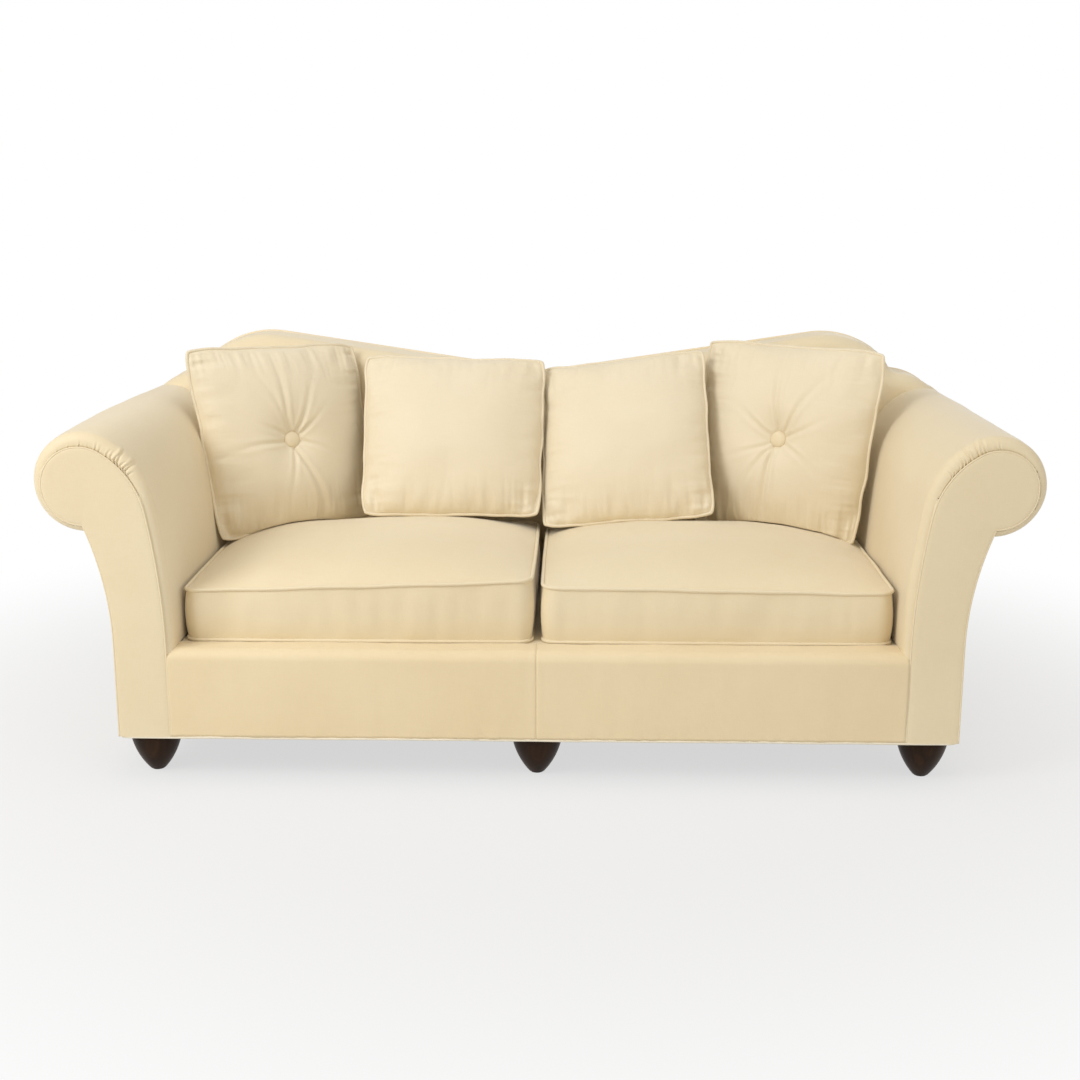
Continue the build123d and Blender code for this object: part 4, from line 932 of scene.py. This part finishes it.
def finish_cushion(made, moved):
    """Cap the swelling, crease the boxing, and add the welts."""
    seed, side = made["seed"], made["side"]
    middle = made["start"].mean(0)
    half = np.array(CUSHION_HALF)
    upper_face = made["start"][:, 2] > CUSHION_BASE + CUSHION_BOXING + TOP_MARGIN
    points = capped(made, moved, np.where(upper_face, CUSHION_TOP_CAP, CUSHION_BAND_CAP))
    height = (points[:, 2] - CUSHION_BASE) / CUSHION_BOXING
    boxing = np.clip(1 - np.abs(2 * height - 1) ** 3, 0, 1) * (~upper_face)
    aside = (points - middle) * (1, 1, 0)
    reach = np.abs(aside[:, :2]) / half
    front_side = reach[:, 1] > reach[:, 0]
    away = np.sign(aside) * np.where(front_side[:, None], (0, 1, 0), (1, 0, 0))
    crease = ripple(points * (26, 26, 5), 1.0, FINE_CREASE, seed)
    crease = crease + ripple(points * (9, 9, 4), 1.0, BROAD_CREASE, seed + 1)
    points = points + away * (np.minimum(crease, CREASE_CREST) * boxing)[:, None]
    top_wave = swells(points, seed + 2, *TOP_SWELL)
    points[:, 2] += top_wave * np.where(upper_face, np.clip((height - 1) * 4, 0, 1), 0)
    seam_wave = ripple(points * (1, 1, 0.1), 8.0, SEAM_WAVE, seed + 4)
    points[:, 2] += seam_wave * np.clip(1 - np.abs(height - 1) * 3, 0, 1)
    tilt = np.interp((points[:, 0] - middle[0]) / half[0], (-1, 1), CUSHION_TILT[side])
    points[:, 2] += tilt * np.clip(height, 0, 1)
    set_points(made["piece"], points)
    body = f"{side}_seat"
    nodes = (f"{side}_seat_cushion_cover", f"{side}_seat_cushion_core")
    dress(made["piece"], body, nodes, COVER_CLOTH)
    smooth_once(made["piece"])
    for name, rim in made["rims"].items():
        path = points[rim] + (0, 0, CUSHION_WELT_LIFT[name])
        out = (path - path.mean(0)) * (1, 1, 0)
        path = path + CUSHION_WELT_PROUD * out / np.linalg.norm(out, axis=1)[:, None]
        path = resample(path, CUSHION_WELT_POINTS, closed=True)
        welt = tube(f"{side}_cushion_{name}_welt", path, CUSHION_WELT, closed=True)
        dress(welt, body, (), WELT_CLOTH)


def smooth_once(piece):
    modifier = piece.modifiers.new("finer", "SUBSURF")
    modifier.levels = 1
    modifier.render_levels = 1


# Pillows stand as their solids do, in cases cut a little out of square


def pillow_axes(turn, lean, roll):
    """Across, up and facing of a pillow."""
    across = np.array([cos(turn), sin(turn), 0.0])
    facing = np.array([sin(turn) * cos(lean), -cos(turn) * cos(lean), sin(lean)])
    up = np.cross(facing, across)
    return np.array([cos(roll) * across + sin(roll) * up, cos(roll) * up - sin(roll) * across, facing])


def pillow_place(middle_x, width, height, turn, lean, roll, seat, back_gap):
    """Middle of a pillow that stands on a cushion and leans on the back."""
    half_rise = height / 2 * cos(lean) + width / 2 * abs(sin(roll)) * cos(lean)
    middle_z = CUSHION_BASE + CUSHION_BOXING + seat + half_rise
    reach = width / 2 * abs(sin(turn)) + height / 2 * sin(lean) * cos(turn)
    return np.array([middle_x, back_face_y(middle_z + half_rise) - reach - back_gap, middle_z])


PILLOW_GRID = 61
PLAIN_GRID = 109  # after the cloth has swelled
BUTTON_GRID = 161
PILLOW_START = 0.86  # thickness before the cloth swells, as a share
PILLOW_CAP = 0.013  # how far the cloth may move
PILLOW_DRAW = 0.0025  # sides drawn in between the corners
PILLOW_SINK = 0.006  # pillow pressed into the cushion
FULLER_BELOW = 0.10
PILLOW_SWELL = 0.011
PILLOW_WRINKLE = 0.0028
PUCKER_REACH = 0.100  # share of a half face
PUCKER_DEPTH = 0.0090
PUCKER_CREST = 0.0022
LOWER_PUCKERS = 1.7  # strength along the lower edge
# How far each case's corners are pulled: lower left, lower right, upper left, upper right, in mm
CASE_PULLS = {
    "left_plain": ((-8, 11), (-3, 15), (-19, 15), (4, 9)),
    "right_plain": ((-4, -8), (-14, 2), (-2, -4), (-28, 18)),
    "left_button": ((4, -10), (0, 0), (-26, 12), (-2, 2)),
    "right_button": ((-20, -8), (-13, -20), (-36, 12), (9, 4)),
}
CASE_EASE = 0.003  # case wider and higher than the solid
CORNER_ROUND = 0.007
EDGE_WAVE = 0.007
PILLOW_WELT_POINTS = 420
REST_GAP = 0.003  # pillow clear of what it rests on
BUTTON_SHIFT = {"left": (-0.009, -0.005), "right": (-0.012, -0.004)}  # from the case's middle
TUFT_FLOOR = BUTTON_THICKNESS / 2 - TUFT_DEPTH
TUFT_REACH = 0.052
TUFT_RIM = 0.03  # creases run out where the face is lower than this
CREASE_WANDER = (0.004, 0.035)  # aside, and over what length
CREASE_WIDTH = (0.0035, 0.030)  # at the button, and how it grows with the distance
CREASE_START = 0.014
CREASE_RIDGE = (0.45, 1.9)  # either side of a crease: height and distance, to the crease's own
# Half section of a button: share of its radius, then rise
BUTTON_PROFILE = (
    (0.30, -0.0010), (0.72, -0.0006), (0.94, 0.0014), (1.00, 0.0046), (0.97, 0.0078), (0.86, 0.0104),
    (0.62, 0.0124), (0.30, 0.0133), (0.08, 0.0135),
)
CLOTH_FRAMES = 20


def unit_grid(count):
    return np.meshgrid(np.linspace(-1, 1, count), np.linspace(-1, 1, count))


def sewn_case(front, rear):
    """Points, faces and edge numbers of two square grids of points sewn round the edge."""
    count = len(front)
    u, v = unit_grid(count)
    inner = (np.abs(u) < 1) & (np.abs(v) < 1)
    front_index = np.arange(count * count).reshape(count, count)
    rear_index = front_index.copy()
    rear_index[inner] = count * count + np.arange(np.count_nonzero(inner))
    points = np.concatenate([front.reshape(-1, 3), rear[inner]])
    return points, np.concatenate([quads(front_index), quads(rear_index, True)]), perimeter(front_index)


def opened_case(points, count):
    """The two grids of a sewn case again."""
    front = points[: count * count].reshape(count, count, 3)
    rear = front.copy()
    rear[1:-1, 1:-1] = points[count * count:].reshape(count - 2, count - 2, 3)
    return front, rear


def finer(grid, count):
    """More points on a grid, along smooth curves through the old ones."""
    for axis in (0, 1):
        rows = np.moveaxis(grid, axis, 0)
        place = np.linspace(0, len(rows) - 1, count)
        k = np.minimum(place.astype(int), len(rows) - 2)
        t = (place - k)[:, None, None]
        a, b, c, d = (rows[np.clip(k + step, 0, len(rows) - 1)] for step in (-1, 0, 1, 2))
        curve = b + 0.5 * t * (c - a + t * (2 * a - 5 * b + 4 * c - d + t * (3 * (b - c) + d - a)))
        grid = np.moveaxis(curve, 0, axis)
    return grid


def case_pull(name, u, v):
    """Shift across and up at each place of a case's face."""
    lower_left, lower_right, upper_left, upper_right = MM * np.array(CASE_PULLS[name])
    u, v = (u[..., None] + 1) / 2, (v[..., None] + 1) / 2
    lower = (1 - u) * lower_left + u * lower_right
    upper = (1 - u) * upper_left + u * upper_right
    return np.moveaxis((1 - v) * lower + v * upper, -1, 0)


def pillow(side, kind, width, height, thickness, seed):
    """A crowned case about its own middle, slightly thin, ready for its cloth."""
    width, height = width + CASE_EASE, height + CASE_EASE
    u, v = unit_grid(PILLOW_GRID)
    dome = ((1 - np.abs(u) ** 2.3) * (1 - np.abs(v) ** 2.3)) ** 0.62
    fuller_below = 1 - FULLER_BELOW * v * (1 - v**2)
    x = u * width / 2 - PILLOW_DRAW * np.sign(u) * np.abs(u) ** 5 * (1 - v**2)
    y = v * height / 2 - PILLOW_DRAW * np.sign(v) * np.abs(v) ** 5 * (1 - u**2)
    corner = CORNER_ROUND * np.abs(u * v) ** 9
    pull_x, pull_y = case_pull(f"{side}_{kind}", u, v)
    x, y = x - corner * np.sign(u) + pull_x, y - corner * np.sign(v) + pull_y
    rise = PILLOW_START * thickness / 2 * dome * fuller_below
    points, faces, rim = sewn_case(np.dstack([x, y, rise]), np.dstack([x, y, -rise]))
    piece = mesh_object(f"{side}_{kind}_case", points, faces)
    made = {"piece": piece, "start": points, "held": rim, "thickness": thickness}
    return made | {"side": side, "kind": kind, "seed": seed}


def puckers(count, seed):
    """Short puckers that run in from the sewn edge, stronger towards the corners."""
    u, v = unit_grid(count)
    total = np.zeros_like(u)
    for near, along, shift in ((u, v, 0.0), (v, u, 40.0)):
        inset = (1 - np.abs(near)) / PUCKER_REACH
        spots = np.dstack([8.0 * along, 6.0 * np.sign(near) + 0.22 * inset, np.full_like(u, shift)])
        fine = np.dstack([19.0 * along, 6.0 * np.sign(near) + 0.30 * inset, np.full_like(u, shift + 9.0)])
        depth = ripple(spots, 1.0, PUCKER_DEPTH, seed) + ripple(fine, 1.0, 0.4 * PUCKER_DEPTH, seed + 1)
        lower = LOWER_PUCKERS if shift else 1.0
        strength = np.where(near < 0, lower, 1.0) * (0.4 + 0.7 * along**2)
        total += inset * np.exp(1 - inset) * strength * np.minimum(depth, PUCKER_CREST)
    return total


def tuft(face, creases, shift):
    """Draw a face in at the button, with creases that run out from it."""
    x, y = face[..., 0] - shift[0], face[..., 1] - shift[1]
    flat = np.hypot(x, y)
    angle = np.arctan2(y, x)
    crown = face[..., 2]
    reach = smoothstep(crown / TUFT_RIM)
    crown = crown + (TUFT_FLOOR - crown) * np.exp(-((flat / TUFT_REACH) ** 1.25))
    started = smoothstep((flat - CREASE_START) / CREASE_START)
    for bearing, long, deep in creases:
        off = (angle - radians(bearing) + pi) % (2 * pi) - pi
        wander = CREASE_WANDER[0] * np.sin(flat / CREASE_WANDER[1] + bearing)
        aside = (flat * np.sin(off) + wander) / (CREASE_WIDTH[0] + CREASE_WIDTH[1] * flat)
        near = (np.cos(off) > 0) * np.exp(-((flat / long) ** 2)) * started
        ridge = CREASE_RIDGE[0] * np.exp(-((np.abs(aside) - CREASE_RIDGE[1]) ** 2))
        fold = np.exp(-(np.abs(aside) ** 1.5)) - ridge
        crown = crown - deep * near * reach * fold
    face[..., 2] = np.where(flat < 0.9 * BUTTON_RADIUS, TUFT_FLOOR, crown)
    return face


def button(name, body, middle, across, up, facing, nodes):
    """A cloth-covered button, domed over and drawn in round its edge."""
    angle = np.linspace(0, 2 * pi, 48, endpoint=False)
    spokes = np.cos(angle)[:, None] * across + np.sin(angle)[:, None] * up
    rings = [middle + share * BUTTON_RADIUS * spokes + rise * facing for share, rise in BUTTON_PROFILE]
    dress(ring_solid(name, rings), body, nodes, WELT_CLOTH)


def finish_pillow(made, moved, axes, place, creases=()):
    """Cap the swelling, pucker the edge, tuft the faces, and stand the pillow in its place."""
    side, kind, seed = made["side"], made["kind"], made["seed"]
    points = capped(made, moved, PILLOW_CAP)
    bpy.data.objects.remove(made["piece"])
    count = BUTTON_GRID if creases else PLAIN_GRID
    faces = []
    for grid, sign in zip(opened_case(points, PILLOW_GRID), (1, -1)):
        face = finer(grid, count) * (1, 1, sign)
        fullness = np.clip(face[..., 2] / (made["thickness"] / 2), 0, 1)
        wrinkle = ripple(face, 5.5, PILLOW_SWELL, seed + 5 + sign)
        wrinkle = wrinkle + ripple(face, 14.0, PILLOW_WRINKLE, seed + 15 + sign)
        face[..., 2] += wrinkle * fullness
        face[..., 2] += puckers(count, seed + 10 + sign) * smoothstep(fullness * 8)
        if creases:
            face = tuft(face, creases, BUTTON_SHIFT[side])
        faces.append(face * (1, 1, sign))
    outer = np.abs(np.stack(unit_grid(count))).max(0) ** 6
    wave = [outer * ripple(faces[0] * (1, 1, 0), 15.0, EDGE_WAVE, seed + 20 + k) for k in range(3)]
    faces = [face + np.stack(wave, -1) * (0.6, 0.6, 1.0) for face in faces]
    points, quad_faces, rim = sewn_case(*faces)
    stand = place - (0, 0, PILLOW_SINK)
    points = clear_of_neighbours(stand + points @ axes)
    body = f"{side}_{kind}_pillow"
    piece = mesh_object(body, points, quad_faces)
    # The pillow's cloth carries painted light: paler and less saturated than the cover cloth.
    dress(piece, body, (f"{body}_cover", f"{body}_insert"), PAINTED_LIGHT_PILLOW_CLOTH)
    path = resample(points[rim], PILLOW_WELT_POINTS, closed=True)
    dress(tube(f"{body}_welt", path, PILLOW_WELT, closed=True), body, (), PAINTED_LIGHT_PILLOW_CLOTH)
    if creases:
        across, up, facing = axes
        shift_x, shift_y = BUTTON_SHIFT[side]
        middle = stand + shift_x * across + shift_y * up
        button(f"{body}_button", body, middle + TUFT_FLOOR * facing, across, up, facing, (f"{body}_buttons",))
        button(f"{body}_rear_button", body, middle - TUFT_FLOOR * facing, across, up, -facing, ())


def clear_of_neighbours(points):
    """Flatten a pillow where it rests on the cushions, the back and the arms."""
    points = points.copy()
    arm = scroll_wrap(PADDED_INSIDE, PADDED_ROLL, FOOT_HEIGHT)
    arm = arm[: np.argmax(arm[:, 1]) + 1]
    inside = np.interp(points[:, 2], arm[:, 1], arm[:, 0], right=PADDED_ROLL[0]) - REST_GAP
    points[:, 0] = np.clip(points[:, 0], -inside, inside)
    points[:, 1] = np.minimum(points[:, 1], back_face_y(points[:, 2]) - REST_GAP)
    for tree in cushion_trees:
        for i in np.flatnonzero(points[:, 2] < CUSHION_BASE + CUSHION_BOXING + CUSHION_CROWN + 0.02):
            hit = tree.ray_cast(Vector((points[i, 0], points[i, 1], 1.0)), Vector((0, 0, -1)))[0]
            if hit is not None:
                points[i, 2] = max(points[i, 2], hit.z + REST_GAP)
    return points


cushions = [cushion("left", -1.0, 101), cushion("right", 1.0, 111)]
pillows = [
    pillow("left", "plain", PLAIN_WIDTH, PLAIN_HEIGHT, PLAIN_THICKNESS, 201),
    pillow("right", "plain", PLAIN_WIDTH, PLAIN_HEIGHT, PLAIN_THICKNESS, 211),
    pillow("left", "button", BUTTON_WIDTH, BUTTON_HEIGHT, BUTTON_THICKNESS, 221),
    pillow("right", "button", BUTTON_WIDTH, BUTTON_HEIGHT, BUTTON_THICKNESS, 231),
]
for made in cushions:
    add_cloth(made["piece"], 3.0, 40.0, 1.0, CLOTH_FRAMES, made["held"])
for made in pillows:
    add_cloth(made["piece"], 4.0, 30.0, 0.6, CLOTH_FRAMES, made["held"])
filled = cloth_step([made["piece"] for made in cushions + pillows], CLOTH_FRAMES)
for made, moved in zip(cushions, filled):
    finish_cushion(made, moved)
cushion_trees = []
for made in cushions:
    shape = made["piece"].data
    corners = [vertex.co for vertex in shape.vertices]
    cushion_trees.append(BVHTree.FromPolygons(corners, [face.vertices for face in shape.polygons]))

PLAIN_LEAN = radians(29.0)
PILLOW_MIDDLE_GAP = 0.006
for made, moved, sign, turn, roll, seat, back_gap in (
    (pillows[0], filled[2], -1, radians(1.0), radians(-0.8), 0.0504, 0.028),
    (pillows[1], filled[3], 1, radians(-9.0), radians(5.0), 0.0394, 0.0036),
):
    slant = abs(sin(roll) + sin(PLAIN_LEAN) * sin(turn))
    middle_x = sign * (PILLOW_MIDDLE_GAP / 2 + PLAIN_WIDTH / 2 * cos(turn) + PLAIN_HEIGHT / 2 * slant)
    place = pillow_place(middle_x, PLAIN_WIDTH, PLAIN_HEIGHT, turn, PLAIN_LEAN, roll, seat, back_gap)
    finish_pillow(made, moved, pillow_axes(turn, PLAIN_LEAN, roll), place)

# Creases round a button: bearing in degrees from the pillow's right, length, depth
LEFT_CREASES = (
    (97, 0.150, 0.0050), (112, 0.110, 0.0040), (63, 0.120, 0.0045), (38, 0.080, 0.0035), (-22, 0.090, 0.0030),
    (-68, 0.170, 0.0050), (-97, 0.100, 0.0035), (187, 0.120, 0.0035), (152, 0.080, 0.0030),
)
RIGHT_CREASES = (
    (96, 0.170, 0.0052), (58, 0.140, 0.0045), (148, 0.090, 0.0038), (205, 0.090, 0.0032),
    (238, 0.110, 0.0038), (-100, 0.180, 0.0052), (-35, 0.080, 0.0028), (25, 0.090, 0.0030),
)
BUTTON_LEAN = radians(13.0)
BUTTON_TURN = radians(33.0)
BUTTON_BACK_GAP = 0.0109
lower_corner = BUTTON_WIDTH / 2 * cos(BUTTON_TURN) - BUTTON_HEIGHT / 2 * sin(BUTTON_LEAN) * sin(BUTTON_TURN)
for made, moved, sign, side_gap, seat, ease, creases in (
    (pillows[2], filled[4], -1, 0.002, 0.0269, 0.0, LEFT_CREASES),
    (pillows[3], filled[5], 1, 0.026, 0.0294, radians(4.0), RIGHT_CREASES),
):
    turn = -sign * BUTTON_TURN
    middle_x = sign * (PADDED_INSIDE - side_gap - lower_corner)
    place = pillow_place(middle_x, BUTTON_WIDTH, BUTTON_HEIGHT, turn, BUTTON_LEAN, 0.0, seat, BUTTON_BACK_GAP)
    finish_pillow(made, moved, pillow_axes(turn + sign * ease, BUTTON_LEAN, 0.0), place, creases)

# Camera

camera_data = bpy.data.cameras.new("camera")
camera_data.sensor_width = 36.0
camera_data.lens = 51.67
camera = bpy.data.objects.new("camera", camera_data)
camera.location = (0.089, -3.662, 1.295)
camera.rotation_euler = (radians(76.9), 0.0, radians(1.44))
bpy.context.scene.collection.objects.link(camera)
bpy.context.scene.camera = camera

# Stage and light

STAGE_WHITE = (1.0, 1.0, 1.0, 1.0)
SOFT_WARM = (1.0, 0.955, 0.885, 1.0)
FLOOR_LIFT = 0.75  # share of plain colour in the floor that the camera sees, near the sofa
FLOOR_LEVEL = 0.865
FLOOR_FADE = (0.9, 2.3)  # distances between which the floor runs out to white
FLOOR_COLOUR = (0.88, 0.88, 0.88, 1.0)
FLOOR_REACH = 30.0


def camera_sees(tree):
    """1 on rays from the camera, straight, mirrored or through glass."""
    path = add_node(tree, "ShaderNodeLightPath").outputs
    total = path["Is Camera Ray"]
    for name in ("Is Glossy Ray", "Is Transmission Ray"):
        total = add_node(tree, "ShaderNodeMath", {0: total, 1: path[name]}, operation="MAXIMUM").outputs[0]
    return total


def show_either(tree, output, factor, first, second):
    """Mix two shaders by a factor into a tree's output."""
    mixed = add_node(tree, "ShaderNodeMixShader", {0: factor, 1: first.outputs[0], 2: second.outputs[0]})
    feed(tree, tree.nodes[output], {"Surface": mixed.outputs[0]})


def white_world(strength):
    """Even soft light, seen as plain white."""
    world = bpy.data.worlds.new("studio")
    bpy.context.scene.world = world
    world.use_nodes = True
    tree = world.node_tree
    soft = tree.nodes["Background"]
    feed(tree, soft, {"Color": SOFT_WARM, "Strength": strength})
    seen = add_node(tree, "ShaderNodeBackground", {"Color": STAGE_WHITE})
    show_either(tree, "World Output", camera_sees(tree), soft, seen)


def pale_floor():
    """A pale floor that runs out to white far from the sofa."""
    material = bpy.data.materials.new("pale_floor")
    material.use_nodes = True
    tree = material.node_tree
    tree.nodes.remove(tree.nodes["Principled BSDF"])
    place = add_node(tree, "ShaderNodeNewGeometry").outputs["Position"]
    away = add_node(tree, "ShaderNodeVectorMath", {0: place}, operation="LENGTH").outputs["Value"]
    fades = []
    for nearest in (FLOOR_LIFT, FLOOR_LEVEL):
        inputs = {"Value": away, "From Min": FLOOR_FADE[0], "From Max": FLOOR_FADE[1], "To Min": nearest}
        fade = add_node(tree, "ShaderNodeMapRange", inputs, interpolation_type="SMOOTHSTEP")
        fades.append(fade.outputs["Result"])
    lift, level = fades
    matte = add_node(tree, "ShaderNodeBsdfDiffuse", {"Color": FLOOR_COLOUR})
    white = add_node(tree, "ShaderNodeEmission", {"Strength": level})
    seen = add_node(tree, "ShaderNodeMath", {0: lift, 1: camera_sees(tree)}, operation="MULTIPLY").outputs[0]
    show_either(tree, "Material Output", seen, matte, white)
    corners = [(x * FLOOR_REACH, y * FLOOR_REACH, 0) for x, y in ((-1, -1), (1, -1), (1, 1), (-1, 1))]
    floor = mesh_object("floor", corners, [(0, 1, 2, 3)], smooth=False)
    floor.data.materials.append(material)


def soft_box(name, place, target, size, power):
    """A large rectangular lamp aimed at a point."""
    lamp = bpy.data.lights.new(name, "AREA")
    lamp.size = size
    lamp.energy = power
    holder = bpy.data.objects.new(name, lamp)
    holder.location = place
    holder.rotation_euler = (Vector(target) - Vector(place)).to_track_quat("-Z", "Y").to_euler()
    bpy.context.scene.collection.objects.link(holder)


bpy.context.scene.view_settings.view_transform = "Standard"
white_world(0.505)
pale_floor()
soft_box("key", (-3.2, -2.6, 3.2), (0.0, 0.0, 0.5), 2.0, 107.0)
soft_box("fill", (3.4, -3.2, 2.2), (0.0, 0.0, 0.5), 3.0, 23.0)
soft_box("top", (0.1, -0.7, 3.7), (0.0, -0.1, 0.4), 2.6, 21.0)
